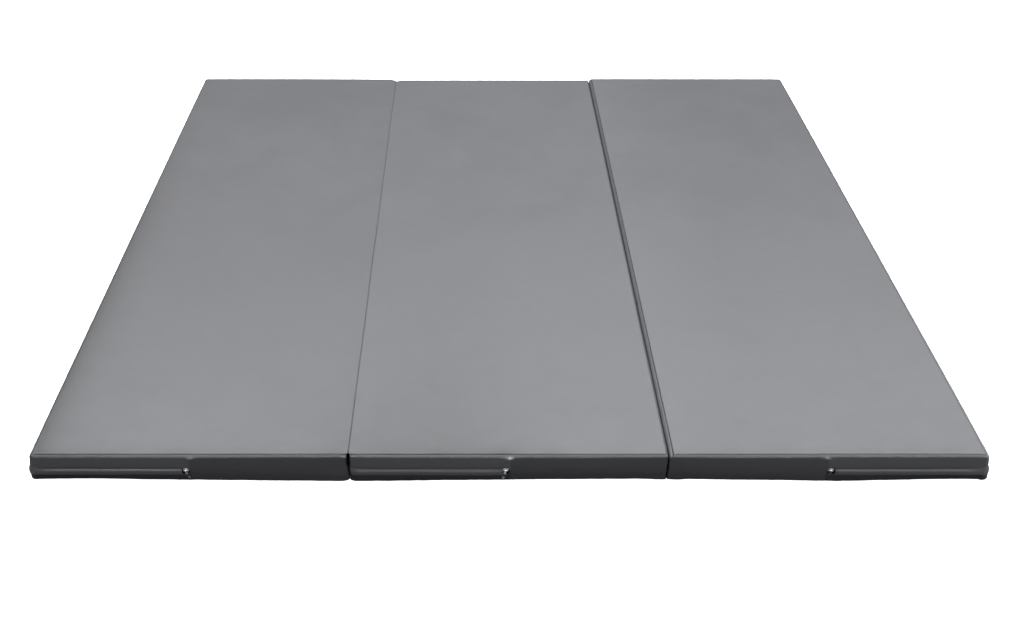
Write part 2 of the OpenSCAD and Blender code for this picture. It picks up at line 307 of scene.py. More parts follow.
def vinyl(name, base, rough=0.42, grain=0.06, tint=(1.0, 1.0, 1.04), spec=0.5, scuff=0.12, upper=None, painted_light_marks=False):
    """Coated fabric: a fine pebbled grain over a faint weave, satin, with slow changes of tone, and scuffs that are
    duller.
    upper is a paler tone painted where the surface faces up, painted light from above; the flag after it reads the
    mesh's own values of painted shade and painted highlight."""
    mat, nt, bsdf = material(name)
    L = nt.links
    co = nt.nodes.new("ShaderNodeTexCoord").outputs["Object"]
    slow = node(nt, "ShaderNodeTexNoise", Scale=2.3, Detail=4.0, Roughness=0.55)
    L.new(co, slow.inputs["Vector"])
    blot = node(nt, "ShaderNodeTexNoise", Scale=38.0, Detail=5.0, Roughness=0.6)
    L.new(co, blot.inputs["Vector"])
    lo, hi = [c * base * 0.95 for c in tint], [c * base * 1.05 for c in tint]
    tone = ramp(nt, slow.outputs["Fac"], [(0.3, tuple(lo)), (0.7, tuple(hi))])
    mottle = nt.nodes.new("ShaderNodeMix")
    mottle.data_type, mottle.blend_type = "RGBA", "MULTIPLY"
    mottle.inputs["Factor"].default_value = 0.10
    L.new(tone, mottle.inputs["A"])
    L.new(ramp(nt, blot.outputs["Fac"], [(0.35, 0.75), (0.65, 1.0)]), mottle.inputs["B"])
    colour = mottle.outputs["Result"]
    # painted light: where the surface faces up, its colour is mixed towards the paler upper tone
    if upper:
        split = nt.nodes.new("ShaderNodeSeparateXYZ")
        L.new(nt.nodes.new("ShaderNodeTexCoord").outputs["Normal"], split.inputs["Vector"])
        pale = nt.nodes.new("ShaderNodeMix")
        pale.data_type = "RGBA"
        L.new(ramp(nt, split.outputs["Z"], [(0.25, 0.0), (0.92, 1.0)]), pale.inputs["Factor"])
        L.new(colour, pale.inputs["A"])
        pale.inputs["B"].default_value = (*[c * upper for c in tint], 1)
        colour = pale.outputs["Result"]
    # painted shade mixes the colour towards near-black and painted highlight towards pale grey, by the mesh's own
    # values
    if painted_light_marks:
        attr = nt.nodes.new("ShaderNodeAttribute")
        attr.attribute_name = "painted_shade"
        dark = nt.nodes.new("ShaderNodeMix")
        dark.data_type = "RGBA"
        L.new(attr.outputs["Fac"], dark.inputs["Factor"])
        L.new(colour, dark.inputs["A"])
        dark.inputs["B"].default_value = (0.004, 0.004, 0.004, 1)
        highlight_attr = nt.nodes.new("ShaderNodeAttribute")
        highlight_attr.attribute_name = "painted_highlight"
        light = nt.nodes.new("ShaderNodeMix")
        light.data_type = "RGBA"
        L.new(highlight_attr.outputs["Fac"], light.inputs["Factor"])
        L.new(dark.outputs["Result"], light.inputs["A"])
        light.inputs["B"].default_value = (0.27, 0.27, 0.28, 1)
        colour = light.outputs["Result"]
    L.new(colour, bsdf.inputs["Base Color"])
    # roughness: satin, with duller scuffs
    scuffs = node(nt, "ShaderNodeTexNoise", Scale=9.0, Detail=8.0, Roughness=0.7, Distortion=0.6)
    L.new(co, scuffs.inputs["Vector"])
    L.new(ramp(nt, scuffs.outputs["Fac"], [(0.42, float(rough)), (0.85, float(min(1.0, rough + scuff)))]), bsdf.inputs["Roughness"])
    # bump: pebbles about 1 mm across, over a faint weave
    peb = node(nt, "ShaderNodeTexVoronoi", Scale=900.0)
    peb.feature = "SMOOTH_F1"
    L.new(co, peb.inputs["Vector"])
    fine = node(nt, "ShaderNodeTexNoise", Scale=1700.0, Detail=2.0)
    L.new(co, fine.inputs["Vector"])
    add = nt.nodes.new("ShaderNodeMath")
    add.operation = "ADD"
    L.new(peb.outputs["Distance"], add.inputs[0])
    L.new(fine.outputs["Fac"], add.inputs[1])
    b1 = node(nt, "ShaderNodeBump", Strength=grain, Distance=0.0006)
    L.new(add.outputs[0], b1.inputs["Height"])
    L.new(b1.outputs["Normal"], bsdf.inputs["Normal"])
    bsdf.inputs["Specular IOR Level"].default_value = spec
    return mat


def woven(name, base):
    """Woven zip tape: a herringbone of fine ribs."""
    mat, nt, bsdf = material(name)
    L = nt.links
    co = nt.nodes.new("ShaderNodeTexCoord").outputs["Object"]
    w1 = node(nt, "ShaderNodeTexWave", Scale=420.0, Distortion=0.4)
    w1.bands_direction = "DIAGONAL"
    w2 = node(nt, "ShaderNodeTexWave", Scale=900.0, Distortion=0.2)
    w2.bands_direction = "Z"
    for w in (w1, w2):
        L.new(co, w.inputs["Vector"])
    mul = nt.nodes.new("ShaderNodeMath")
    mul.operation = "MULTIPLY"
    L.new(w1.outputs["Fac"], mul.inputs[0])
    L.new(w2.outputs["Fac"], mul.inputs[1])
    L.new(ramp(nt, mul.outputs[0], [(0.0, base * 0.6), (1.0, base * 1.5)]), bsdf.inputs["Base Color"])
    bsdf.inputs["Roughness"].default_value = 0.85
    b = node(nt, "ShaderNodeBump", Strength=0.5, Distance=0.0003)
    L.new(mul.outputs[0], b.inputs["Height"])
    L.new(b.outputs["Normal"], bsdf.inputs["Normal"])
    return mat


def nylon(name, base):
    """Nylon of the zip's coils, slightly glossy and uneven."""
    mat, nt, bsdf = material(name)
    co = nt.nodes.new("ShaderNodeTexCoord").outputs["Object"]
    n = node(nt, "ShaderNodeTexNoise", Scale=600.0, Detail=3.0)
    nt.links.new(co, n.inputs["Vector"])
    nt.links.new(ramp(nt, n.outputs["Fac"], [(0.3, base * 0.7), (0.7, base * 1.4)]), bsdf.inputs["Base Color"])
    nt.links.new(ramp(nt, n.outputs["Fac"], [(0.3, 0.32), (0.7, 0.5)]), bsdf.inputs["Roughness"])
    return mat


def plated(name, dark=(0.66, 0.65, 0.63), light=(0.92, 0.92, 0.92)):
    """Plating on die-cast zinc: faintly brushed, duller and darker in patches of wear."""
    mat, nt, bsdf = material(name, metallic=1.0)
    L = nt.links
    co = nt.nodes.new("ShaderNodeTexCoord").outputs["Object"]
    wear = node(nt, "ShaderNodeTexNoise", Scale=260.0, Detail=6.0, Roughness=0.7)
    L.new(co, wear.inputs["Vector"])
    L.new(ramp(nt, wear.outputs["Fac"], [(0.35, dark), (0.6, light)]), bsdf.inputs["Base Color"])
    L.new(ramp(nt, wear.outputs["Fac"], [(0.35, 0.50), (0.65, 0.30)]), bsdf.inputs["Roughness"])
    brush = node(nt, "ShaderNodeTexNoise", Scale=1400.0, Detail=2.0)
    L.new(co, brush.inputs["Vector"])
    b = node(nt, "ShaderNodeBump", Strength=0.15, Distance=0.0001)
    L.new(brush.outputs["Fac"], b.inputs["Height"])
    L.new(b.outputs["Normal"], bsdf.inputs["Normal"])
    return mat


def foam(name):
    """Closed-cell foam: off-white, matt, with open cut cells."""
    mat, nt, bsdf = material(name)
    L = nt.links
    co = nt.nodes.new("ShaderNodeTexCoord").outputs["Object"]
    cells = node(nt, "ShaderNodeTexVoronoi", Scale=420.0)
    L.new(co, cells.inputs["Vector"])
    big = node(nt, "ShaderNodeTexNoise", Scale=12.0, Detail=3.0)
    L.new(co, big.inputs["Vector"])
    L.new(ramp(nt, big.outputs["Fac"], [(0.3, (0.74, 0.73, 0.69)), (0.7, (0.83, 0.82, 0.79))]), bsdf.inputs["Base Color"])
    bsdf.inputs["Roughness"].default_value = 0.92
    b = node(nt, "ShaderNodeBump", Strength=0.5, Distance=0.0008)
    L.new(cells.outputs["Distance"], b.inputs["Height"])
    L.new(b.outputs["Normal"], bsdf.inputs["Normal"])
    return mat


def thread(name, base):
    """Twisted polyester thread."""
    mat, nt, bsdf = material(name)
    co = nt.nodes.new("ShaderNodeTexCoord").outputs["Object"]
    w = node(nt, "ShaderNodeTexWave", Scale=700.0, Distortion=1.0)
    w.bands_direction = "DIAGONAL"
    nt.links.new(co, w.inputs["Vector"])
    nt.links.new(ramp(nt, w.outputs["Fac"], [(0.0, base * 0.6), (1.0, base * 1.4)]), bsdf.inputs["Base Color"])
    bsdf.inputs["Roughness"].default_value = 0.6
    b = node(nt, "ShaderNodeBump", Strength=0.6, Distance=0.0001)
    nt.links.new(w.outputs["Fac"], b.inputs["Height"])
    nt.links.new(b.outputs["Normal"], bsdf.inputs["Normal"])
    return mat


ALBEDO = 0.060
# the three tops are one vinyl: the left one is painted darker and the right one lighter, painted light and shade from
# the lamp on the right
M_TOP = {s: vinyl(f"vinyl_top_{s}", ALBEDO * k, rough=0.44, grain=0.05, painted_light_marks=True) for s, k in (("left", 0.96), ("middle", 1.01), ("right", 1.05))}
# the walls, bands and flap are one vinyl: the zipped band and the flap are lighter copies as painted light, the band
# below the zip a darker copy as the flap's painted shadow, and upper is painted light on the faces that turn up
M_WALL = vinyl("vinyl_wall", ALBEDO * 0.36, rough=0.34, grain=0.06, tint=(1.0, 1.0, 1.05), spec=0.46, scuff=0.06, upper=ALBEDO * 0.80, painted_light_marks=True)
M_BAND = vinyl("vinyl_wall_zip", ALBEDO * 0.55, rough=0.34, grain=0.06, tint=(1.0, 1.0, 1.05), spec=0.48, scuff=0.06, upper=ALBEDO * 0.85, painted_light_marks=True)
M_LOW = vinyl("vinyl_wall_low", ALBEDO * 0.21, rough=0.40, grain=0.06, tint=(1.0, 1.0, 1.05), spec=0.34, scuff=0.06)
M_FLAP = vinyl("vinyl_flap", ALBEDO * 0.80, rough=0.34, grain=0.06, tint=(1.0, 1.0, 1.05), spec=0.46, scuff=0.06)
M_BASE = vinyl("vinyl_base", ALBEDO * 0.6, rough=0.55, grain=0.2)
M_WEB = vinyl("vinyl_hinge", ALBEDO * 0.75, rough=0.5, grain=0.08)
M_TAPE = woven("zip_tape_weave", 0.018)
M_COIL = nylon("zip_coil_nylon", 0.02)
M_METAL = plated("zip_nickel")
# the pulls are one plating, painted brighter on the middle panel and darker on the right one, as painted light and
# painted shade
M_PULL = {s: plated(f"zip_pull_{s}", tuple(k * v for v in (0.30, 0.30, 0.305)), tuple(k * v for v in (0.50, 0.50, 0.51)))
          for s, k in (("left", 0.9), ("middle", 1.7), ("right", 0.3))}
M_FOAM = foam("foam_core")
M_THREAD = thread("stitch_thread", 0.03)

# ---------------------------------------------------------------- cloth


def simulate(name, base, pins, extra, pressure, frames, seed, kick):
    """Runs Blender's cloth on a grid of points in mm. The pin weights hold points to their places, as a seam (1) or as the foam
    behind the fabric (below 1); extra is how much longer the fabric is cut than the place it is sewn into. Returns how far each point moved."""
    rows, cols = base.shape[:2]
    rng = np.random.RandomState(seed)
    n = normals_of(base)
    start = base + n * (kick * (rng.rand(rows, cols, 1) - 0.5) * (pins[..., None] < 0.99))
    me = bpy.data.meshes.new(name)
    me.from_pydata([tuple(v) for v in (start.reshape(-1, 3) * MM)], [], grid_faces(rows, cols, flip=True))
    ob = bpy.data.objects.new(name, me)
    bpy.context.scene.collection.objects.link(ob)
    pin, loose = ob.vertex_groups.new(name="pin"), ob.vertex_groups.new(name="loose")
    flat_pins, flat_extra = pins.reshape(-1), extra.reshape(-1)
    for level in np.unique(np.round(flat_pins, 2)):
        pin.add([int(i) for i in np.nonzero(np.round(flat_pins, 2) == level)[0]], float(level), "REPLACE")
    top = float(flat_extra.max())
    for level in np.unique(np.round(flat_extra / top, 2)):
        loose.add([int(i) for i in np.nonzero(np.round(flat_extra / top, 2) == level)[0]], float(level), "REPLACE")
    mod = ob.modifiers.new("cloth", "CLOTH")
    c = mod.settings
    c.quality = 5
    c.mass = 0.25
    c.tension_stiffness = c.compression_stiffness = 20
    c.shear_stiffness = 8
    c.bending_stiffness = 0.6
    c.air_damping = 3
    c.vertex_group_mass = "pin"
    c.pin_stiffness = 1.0
    c.vertex_group_shrink = "loose"
    c.shrink_min = 0.0
    c.shrink_max = -top
    c.use_pressure = True
    c.uniform_pressure_force = pressure
    c.effector_weights.gravity = 0.0
    mod.collision_settings.use_collision = False
    mod.point_cache.frame_start, mod.point_cache.frame_end = 1, frames + 1
    for f in range(1, frames + 1):
        bpy.context.scene.frame_set(f)
    dg = bpy.context.evaluated_depsgraph_get()
    ev = ob.evaluated_get(dg)
    co = np.empty(rows * cols * 3)
    ev.data.vertices.foreach_get("co", co)
    bpy.data.objects.remove(ob)
    bpy.context.scene.frame_set(1)
    return co.reshape(rows, cols, 3) / MM - base


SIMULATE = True

# ---------------------------------------------------------------- the wall


def lowered(panel, x, y):
    """How far the sheet hangs below its highest level: it is drawn down towards the seams, more at the far end of the middle panel."""
    dx = np.minimum(panel.w / 2 - x, panel.w / 2 + x)
    dy = np.minimum(panel.l / 2 - y, panel.l / 2 + y)
    zip_side, far_side = (1.0 if r else 0.25 for r in panel.top_round)
    d = 0.9 * zip_side * np.exp(-np.maximum(panel.w / 2 + x, 0) / 26.0) + 0.4 * far_side * np.exp(-np.maximum(panel.w / 2 - x, 0) / 12.0)
    d = d + 0.7 * np.exp(-np.maximum(dy, 0) / 32.0)
    row_x = panel.cx + panel.flip * x
    roll = np.interp(row_x, [-750, -420, -250, 0, 250, 330, 520, 750], [0.9, 1.0, 0.7, 1.3, 0.7, 1.1, 0.0, 0.0])
    d = d + (1.2 * roll + 0.35 * ripples(panel.seed + 31, x, 4, 120, 420)) * np.exp(-np.maximum(panel.l / 2 + y, 0) / 8.0)
    d = d + 0.25 + 0.13 * waves(panel.seed + 1, x, y, 7, 220, 800)
    end = smooth01((y + panel.l / 2 - panel.l * 0.7) / (panel.l * 0.3))
    d = d + end * {"left": 2.2 * np.exp(-(panel.w / 2 - x) / 70.0), "middle": 2.2, "right": 0.1}[panel.side]
    return np.maximum(d, 0.05)


def shoulder_profile(n_arc):
    """The rounded top edge as (u, z from the panel's top): the sewn-in edge, then the arc."""
    pts = [(-SHOULDER - 0.35, -3.10), (-SHOULDER + 0.10, -1.90), (-SHOULDER + 0.50, -0.70)]
    for k in range(1, n_arc + 1):
        th = math.radians(80 - 80 * k / n_arc)
        pts.append((-SHOULDER + SHOULDER * math.cos(th), -SHOULDER + SHOULDER * math.sin(th)))
    return pts


def square_top_profile(n):
    """The edge under a sheet that runs on over a fold: a flat top that is hidden under the sheet."""
    pts = [(-2.6, -2.4), (-1.7, -2.35), (-0.9, -2.5), (-0.35, -2.9), (-0.05, -3.5)]
    zs = np.linspace(-3.5, -SHOULDER, n - 3 + 1)[1:] if n > 3 else []
    out = pts[:3] + [(-0.35, -2.9)]
    for k in range(1, n):
        t = k / (n - 1)
        out.append((-0.35 + 0.35 * min(1, 2 * t), -2.9 - (SHOULDER - 2.9) * t))
    return out


N_ARC = 7


def wall_rows(panel):
    """Rows of the wall from the top seam to the bottom seam: rounded and square (u, z) sections, which are mixed by side."""
    h = panel.h
    up_r = [(u, h + z) for u, z in shoulder_profile(N_ARC)]
    up_s = [(u, h + z) for u, z in square_top_profile(N_ARC)]
    assert len(up_r) == len(up_s)
    zs = [h - SHOULDER - 3.2, 38, 34.5, 31, 28.8, panel.band_z, 24.2, 22, panel.zip_z, 18, 15.8, panel.low_band_z, 11.4, 9.2, FOOT]
    mid = [(0.0, z) for z in zs]
    n = 6
    dn_r, dn_s = [], []
    for k in range(1, n + 1):
        th = math.radians(90 * k / n)
        dn_r.append((-FOOT + FOOT * math.cos(th), FOOT - FOOT * math.sin(th)))
        t = k / n
        dn_s.append((-0.9 * t**3, FOOT - (FOOT - 1.4) * t))
    dn_r.append((-FOOT - 1.1, 0.12))
    dn_s.append((-2.6, -0.25))       # the wall's end turns in and down onto the sheet
    dn_t = []                   # a foot with a small radius, for the corners at the right fold
    for k in range(1, n + 1):
        th = math.radians(90 * min(1.0, k / 4))
        out = -1.6 * max(0, k - 4)
        dn_t.append((-1.8 + 1.8 * math.cos(th) + out, 1.8 - 1.8 * math.sin(th) + (0.05 if k > 3 else 0.0)))
    dn_t.append((-FOOT - 1.1, 0.12))
    mid_t = [(u, z if z > FOOT else 1.8) for u, z in mid]
    return (np.array(up_r + mid + dn_r), np.array(up_s + mid + dn_s), np.array(up_r + mid_t + dn_t),
            len(up_r), len(up_r) + len(mid))


def wall_columns(panel, step, corner_n):
    """Column positions along the wall, with one at each end of the zip."""
    a, q, b = panel.a, panel.q, panel.b
    knots = sorted([0, a, a + q, a + q + b, a + 2 * q + b, 2 * a + 2 * q + b, 2 * a + 3 * q + b, 2 * a + 3 * q + 2 * b, panel.total,
                    panel.s_seam, panel.s_far])
    cols = []
    for k0, k1 in zip(knots, knots[1:]):
        n = corner_n if abs(k1 - k0 - q) < 1e-6 else max(1, int(round((k1 - k0) / step)))
        cols += list(np.linspace(k0, k1, n, endpoint=False))
    for e in (panel.s_seam, panel.s_far):       # finer next to the upright seams
        cols += [e - 7.0, e - 4.6, e - 3.4, e - 2.3, e - 1.2, e - 0.5, e + 0.5, e + 1.2, e + 3.0, e + 5.0]
    cols = sorted(set(round(c, 4) for c in cols))
    keep = [cols[0]]
    for c in cols[1:]:
        if c - keep[-1] > 0.35:
            keep.append(c)
    return np.array(keep)


def section(panel, cols):
    """The wall's section at each column: rows by columns by (u, z)."""
    rounded, square_, tight, n_up, n_mid = wall_rows(panel)
    wt = panel.side_weight(cols, *[1.0 if r else 0.0 for r in panel.top_round])
    wf = panel.side_weight(cols, *[1.0 if r else 0.0 for r in panel.foot_round])
    w = np.ones((len(rounded), len(cols)))
    w[:n_up] = wt
    w[n_mid - 1:] = wf
    # at the right fold the foot is already tight before the corner
    a, q = panel.a, panel.q
    wm = np.interp(cols, [a - 30, a - 8, a + q, a + q + 45], [0, 1, 1, 0])
    wc = np.maximum(wm * (0.55 if panel.foot_round[1] else 1.0), 0.5)
    base = rounded[:, None, :] * (1 - wc[None, :, None]) + tight[:, None, :] * wc[None, :, None]
    w = np.where((np.arange(len(rounded)) >= n_mid - 1)[:, None], np.maximum(w, wm[None]), w)
    out = base * w[..., None] + square_[:, None, :] * (1 - w[..., None])
    # a narrower shoulder on the far side of some panels
    k = 1 - (1 - FAR_SHOULDER[panel.side]) * panel.far_weight(cols)
    out[:n_up, :, 0] *= k[None]
    return out


def wall_field(panel):
    """Cloth result for the wall: a function that gives (out, along, up) offsets at any row parameter and column."""
    rounded = wall_rows(panel)[0]
    sec_len = np.concatenate([[0], np.cumsum(np.linalg.norm(np.diff(rounded, axis=0), axis=1))])
    t_sim = np.linspace(0, sec_len[-1], 15)
    s_sim = np.linspace(-60, panel.total + 60, int((panel.total + 120) / 8.5))
    prof_r = np.stack([np.interp(t_sim, sec_len, rounded[:, k]) for k in (0, 1)], -1)
    p, nrm = panel.outline(s_sim)
    base = np.zeros((len(t_sim), len(s_sim), 3))
    base[..., :2] = p[None] + prof_r[:, None, :1] * nrm[None]
    base[..., 2] = prof_r[:, 1][:, None]
    pins = np.full(base.shape[:2], 0.12)
    pins[0] = pins[-1] = 1.0
    pins[:, 0] = pins[:, -1] = 1.0
    loose = 0.004 + 0.014 * np.exp(-t_sim / 9.0)[:, None] * (1 + 0.5 * ripples(panel.seed + 5, s_sim, 6, 60, 300))[None] + 0.006 * np.exp(-(t_sim[-1] - t_sim) / 8.0)[:, None]
    d = simulate(panel.side + "_wall_cloth", base, pins, np.maximum(loose, 0.001), 1.2, 26, panel.seed, 0.5)
    out = d[..., 0] * nrm[None, :, 0] + d[..., 1] * nrm[None, :, 1]
    alo = -d[..., 0] * nrm[None, :, 1] + d[..., 1] * nrm[None, :, 0]
    f = np.stack([out, alo, d[..., 2]], -1)
    f = np.clip(f, -1.6, 1.6)
    return t_sim, s_sim, f


def bottom_wave(panel, s, z):
    """Slow bulges of the wall along its length, strongest low down."""
    low = np.clip(1 - z / panel.h, 0, 1)
    return 0.5 * ripples(panel.seed + 9, s, 5, 140, 520) * (0.35 + 0.65 * low)


def build_wall(panel):
    rounded, square_, tight, n_up, n_mid = wall_rows(panel)
    cols = wall_columns(panel, 7.0, 12)
    cols = np.append(cols, panel.total)
    sec = section(panel, cols)
    p, nrm = panel.outline(cols)
    u, z = sec[..., 0].copy(), sec[..., 1].copy()
    along = np.zeros_like(u)
    # follow the sheet down at the seam
    inner = p - nrm * 6.0
    drop = lowered(panel, inner[:, 0], inner[:, 1])
    near_top = smooth01((z - (panel.h - 14)) / 12.0)
    z = z - drop[None] * near_top
    # cloth
    sec_len = np.concatenate([[0], np.cumsum(np.linalg.norm(np.diff(rounded, axis=0), axis=1))])
    if SIMULATE:
        t_sim, s_sim, f = wall_field(panel)
        g = hermite(sec_len, t_sim, f)
        g = np.moveaxis(hermite(cols, s_sim, np.moveaxis(g, 1, 0)), 0, 1)
        blend = 0.5 + 0.5 * np.cos(math.pi * np.clip((cols - (panel.total - 30)) / 30.0, 0, 1))
        g0 = np.moveaxis(hermite(cols - panel.total, s_sim, np.moveaxis(hermite(sec_len, t_sim, f), 1, 0)), 0, 1)
        g = g * blend[None, :, None] + g0 * (1 - blend)[None, :, None]
        panel.wall_cloth = float(np.abs(g[..., 0]).max())
        u, along, z = u + g[..., 0], along + g[..., 1], z + 0.7 * g[..., 2]
    else:
        bell = np.sin(math.pi * sec_len / sec_len[-1])[:, None]
        u = u + 0.5 * bell
    u = u + bottom_wave(panel, cols[None], z) * smooth01((panel.h - z) / 12.0) * smooth01(z / 3.0)
    zipped = np.where((cols < panel.s_seam) | (cols > panel.s_far), 1.0, 0.0)
    lean = np.interp(z, [0, 9, 14, 26, 30, 44, 50], [0, 0.3, 0.2, 0.6, 0.6, 0.0, 0.3])
    u = u + lean * zipped[None]
    # the ends of the mat fall back towards the floor, in places more than in others
    far, near = panel.far_weight(cols), panel.zip_weight(cols)
    along_row = panel.cx + panel.flip * p[:, 0]
    full = np.interp(along_row, [-750, -654, -576, -498, -420, -342, -264, -185, -107, -29, 49, 127, 206, 284, 362, 440, 518, 597, 675, 750],
                     [0.4, 1.0, 0.45, -0.2, -0.5, -0.7, -1.0, -0.9, -0.4, -0.1, 0.35, 0.5, 0.45, 0.35, 0.0, -0.45, -1.1, -0.3, 0.4, 0.2])
    u = u - 2.9 * (full * np.abs(nrm[:, 1]))[None] * np.clip((38 - z) / 38.0, 0, 1) ** 2
    # walls that face a neighbour lean over the fold's gap or away from it
    high = smooth01((49.6 - z) / 5.0) * smooth01((z - 18) / 16.0)
    low_side = smooth01((34 - z) / 22.0)
    foot = smooth01(z / 2.5) * smooth01((14 - z) / 3.5)
    near_low = low_side * smooth01((z + 1.0) / 4.0)
    low = near_low if panel.side == "left" else low_side * smooth01((sec[..., 0] + 6.1) / 4.0)
    shape = {"left": 2.6 * low + 0.6 * foot, "middle": 0.25 * low + 0.3 * high, "right": 3.4 * low + 3.1 * high}[panel.side]
    aside = smooth01(far * 2.2)[None] * shape
    if panel.side == "middle":
        aside = aside - smooth01(near * 2.2)[None] * (0.2 * foot - 0.5 * near_low * (1 - foot))
    # the sides that face a neighbour stay clear of it
    most = {"left": 0.5, "middle": 0.2, "right": 0.2}[panel.side]
    u = np.minimum(u, 2.0 + (most - 2.0) * smooth01(far * 2.2)[None])
    if panel.side == "middle":
        u = np.minimum(u, 2.0 - 1.7 * smooth01(near * 2.2)[None])
    u = u + panel.flare(cols[None], z) * smooth01((sec[..., 0] + 5.2) / 4.6)
    # the foot rises a little towards the outer front corner
    lift = np.interp(along_row, [-750, -300, -200, 220, 520, 750], [1.0, 0.0, 0.0, 1.0, 0.0, 1.3]) * (1 - near)
    z = z + lift[None] * smooth01((u + 6.0) / 3.0) * smooth01((15 - z) / 13.0)
    z = np.clip(z, 0.0, panel.h - 0.05)
    # a small tuck above each end of the zip
    tuck = np.exp(-((cols - panel.s_seam - 1.0 - TUCK_SHIFT[panel.side]) / 5.0) ** 2)
    arc = smooth01((panel.h - 3.8 - z) / 2.6) * smooth01((z - (panel.h - 14)) / 7.0)
    u = u + 1.35 * tuck[None] * arc
    z = np.clip(z, 0.0, panel.h + 0.1)
    # the upright seams
    for e in (panel.s_seam, panel.s_far):
        line = np.exp(-((cols - e) / 0.75) ** 2)
        body = smooth01((panel.h - z) / 4.0) * smooth01(z / 2.0)
        u = u - 0.28 * line[None] * body
        u = u + 0.12 * (np.exp(-((cols - e - 2.2) / 1.6) ** 2) + np.exp(-((cols - e + 2.2) / 1.6) ** 2))[None] * body
    tangent = np.stack([-nrm[:, 1], nrm[:, 0]], -1)
    g = np.zeros(u.shape + (3,))
    g[..., :2] = p[None] + u[..., None] * nrm[None] + along[..., None] * tangent[None]
    g[..., 0] += aside
    g[..., 2] = z
    n = normals_of(g)
    turned = (np.sum(n[..., :2] * nrm[None], -1, keepdims=True) + n[..., 2:] * 0.2) < -0.3
    turned[n_mid:] = False
    n = np.where(turned, -n, n)
    inner_g = g - n * SKIN
    inner_g[..., 2] = np.maximum(inner_g[..., 2], 0.02)
    panel.wall_grid, panel.wall_cols, panel.wall_rows, panel.wall_normals = g, cols, sec, n
    return g, inner_g, cols


def cut(g, c0, c1, r0, r1):
    return g[r0:r1 + 1, c0:c1 + 1]


def with_hem(outer, inner, at_end, panel, cols, nrm):
    """Adds a hem that turns in at the band's edge by the zip, after the last row or before the first."""
    edge_o, edge_i = (outer[-1], inner[-1]) if at_end else (outer[0], inner[0])
    sign = -1.0 if at_end else 1.0
    n3 = np.concatenate([nrm, np.zeros((len(nrm), 1))], -1)
    lip_o, lip_i = [], []
    for du, dz in ((-0.25, 0.35), (-0.9, 0.62), (-2.0, 0.62), (-3.2, 0.5)):
        e = edge_o + n3 * du
        e[:, 2] += sign * dz
        lip_o.append(e)
        f = edge_o + n3 * min(du, -SKIN)
        f[:, 2] += sign * (dz - SKIN) if du < -0.5 else sign * (-0.2)
        lip_i.append(f)
    lip_o, lip_i = np.array(lip_o), np.array(lip_i)
    if at_end:
        return np.concatenate([outer, lip_o]), np.concatenate([inner, lip_i])
    return np.concatenate([lip_o[::-1], outer]), np.concatenate([lip_i[::-1], inner])


def add_wall(panel):
    outer, inner, cols = build_wall(panel)
    rounded = wall_rows(panel)[0]
    rows_z = rounded[:, 1]
    r_band = int(np.argmin(np.abs(rows_z - panel.band_z)))
    r_low = int(np.argmin(np.abs(rows_z - panel.low_band_z)))
    c_seam = int(np.argmin(np.abs(cols - panel.s_seam)))
    c_far = int(np.argmin(np.abs(cols - panel.s_far)))
    last = outer.shape[0] - 1
    pieces = []

    def finish(name, o, i, node_name, mat=M_WALL):
        verts, faces = shell(o, i)
        ob = make_object(f"{panel.side}_{name}", panel.world(verts), faces, mat, flip=panel.flip < 0)
        # painted highlight on the tuck at the zip's end, painted light on the right panel's outer shoulder, painted
        # shade on the left panel's outer shoulder, most towards its front
        x, y, z = verts[:, 0], verts[:, 1], verts[:, 2]
        near_top = smooth01((z - (panel.h - 11)) / 4.0)
        outer_side = smooth01((7.0 - panel.w / 2 - x) / 3.0) * near_top
        level = panel.h - lowered(panel, np.array([panel.seam_x]), np.array([-panel.l / 2 + 6.0]))[0]
        tuck = np.exp(-((x - panel.seam_x - 2.6 - TUCK_SHIFT[panel.side]) / 4.6) ** 2 - ((z - (level - 2.9)) / 1.5) ** 2) * (y < -panel.l / 2 + 9)
        painted_highlight = {"left": 0.32, "middle": 1.0, "right": 0.5}[panel.side] * tuck + (0.10 * outer_side if panel.side == "right" else 0)
        shoulder_shade = outer_side * np.interp(y, [-750, -450, -60, 400, 750], [0.55, 0.45, 0.3, 0.05, 0.05]) if panel.side == "left" else np.zeros(len(x))
        for key, value in (("painted_shade", shoulder_shade), ("painted_highlight", painted_highlight)):
            ob.data.attributes.new(key, "FLOAT", "POINT").data.foreach_set("value", np.clip(value, 0, 1).astype(np.float32))
        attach(ob, f"{panel.side}_panel")
        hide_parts(f"{panel.side}_{node_name}")
        pieces.append(ob)

    # plain wall: from the zip's end on the front, round to its end on the long side
    finish("wall_cover", cut(outer, c_seam, c_far, 0, last), cut(inner, c_seam, c_far, 0, last), "plain_wall")
    # the zipped stretch: from the far end, round the front corner, to the zip's end on the front
    order = list(range(c_far, len(cols))) + list(range(1, c_seam + 1))
    o, i = outer[:, order], inner[:, order]
    _, nrm = panel.outline(cols[order])
    c = cols[order]
    close = smooth01((c - (panel.s_seam - 4.7)) / 3.7) * (c <= panel.s_seam + 0.01)
    o, i = o.copy(), i.copy()
    for g in (o, i):
        z = g[..., 2]
        up = np.arange(len(z))[:, None] <= r_band
        down = np.arange(len(z))[:, None] >= r_low
        z += np.where(up, (panel.zip_z + 1.0 - panel.band_z) * smooth01((39 - z) / (39 - panel.band_z)), 0) * close[None]
        z += np.where(down, (panel.zip_z - 1.0 - panel.low_band_z) * smooth01((z - 3.0) / (panel.low_band_z - 3.0)), 0) * close[None]
    uo, ui = with_hem(o[:r_band + 1], i[:r_band + 1], True, panel, cols[order], nrm)
    finish("upper_band_cover", uo, ui, "upper_band", mat=M_BAND)
    lo_, li = with_hem(o[r_low:], i[r_low:], False, panel, cols[order], nrm)
    finish("lower_band_cover", lo_, li, "lower_band", mat=M_LOW)
    return pieces


# ---------------------------------------------------------------- the sheets


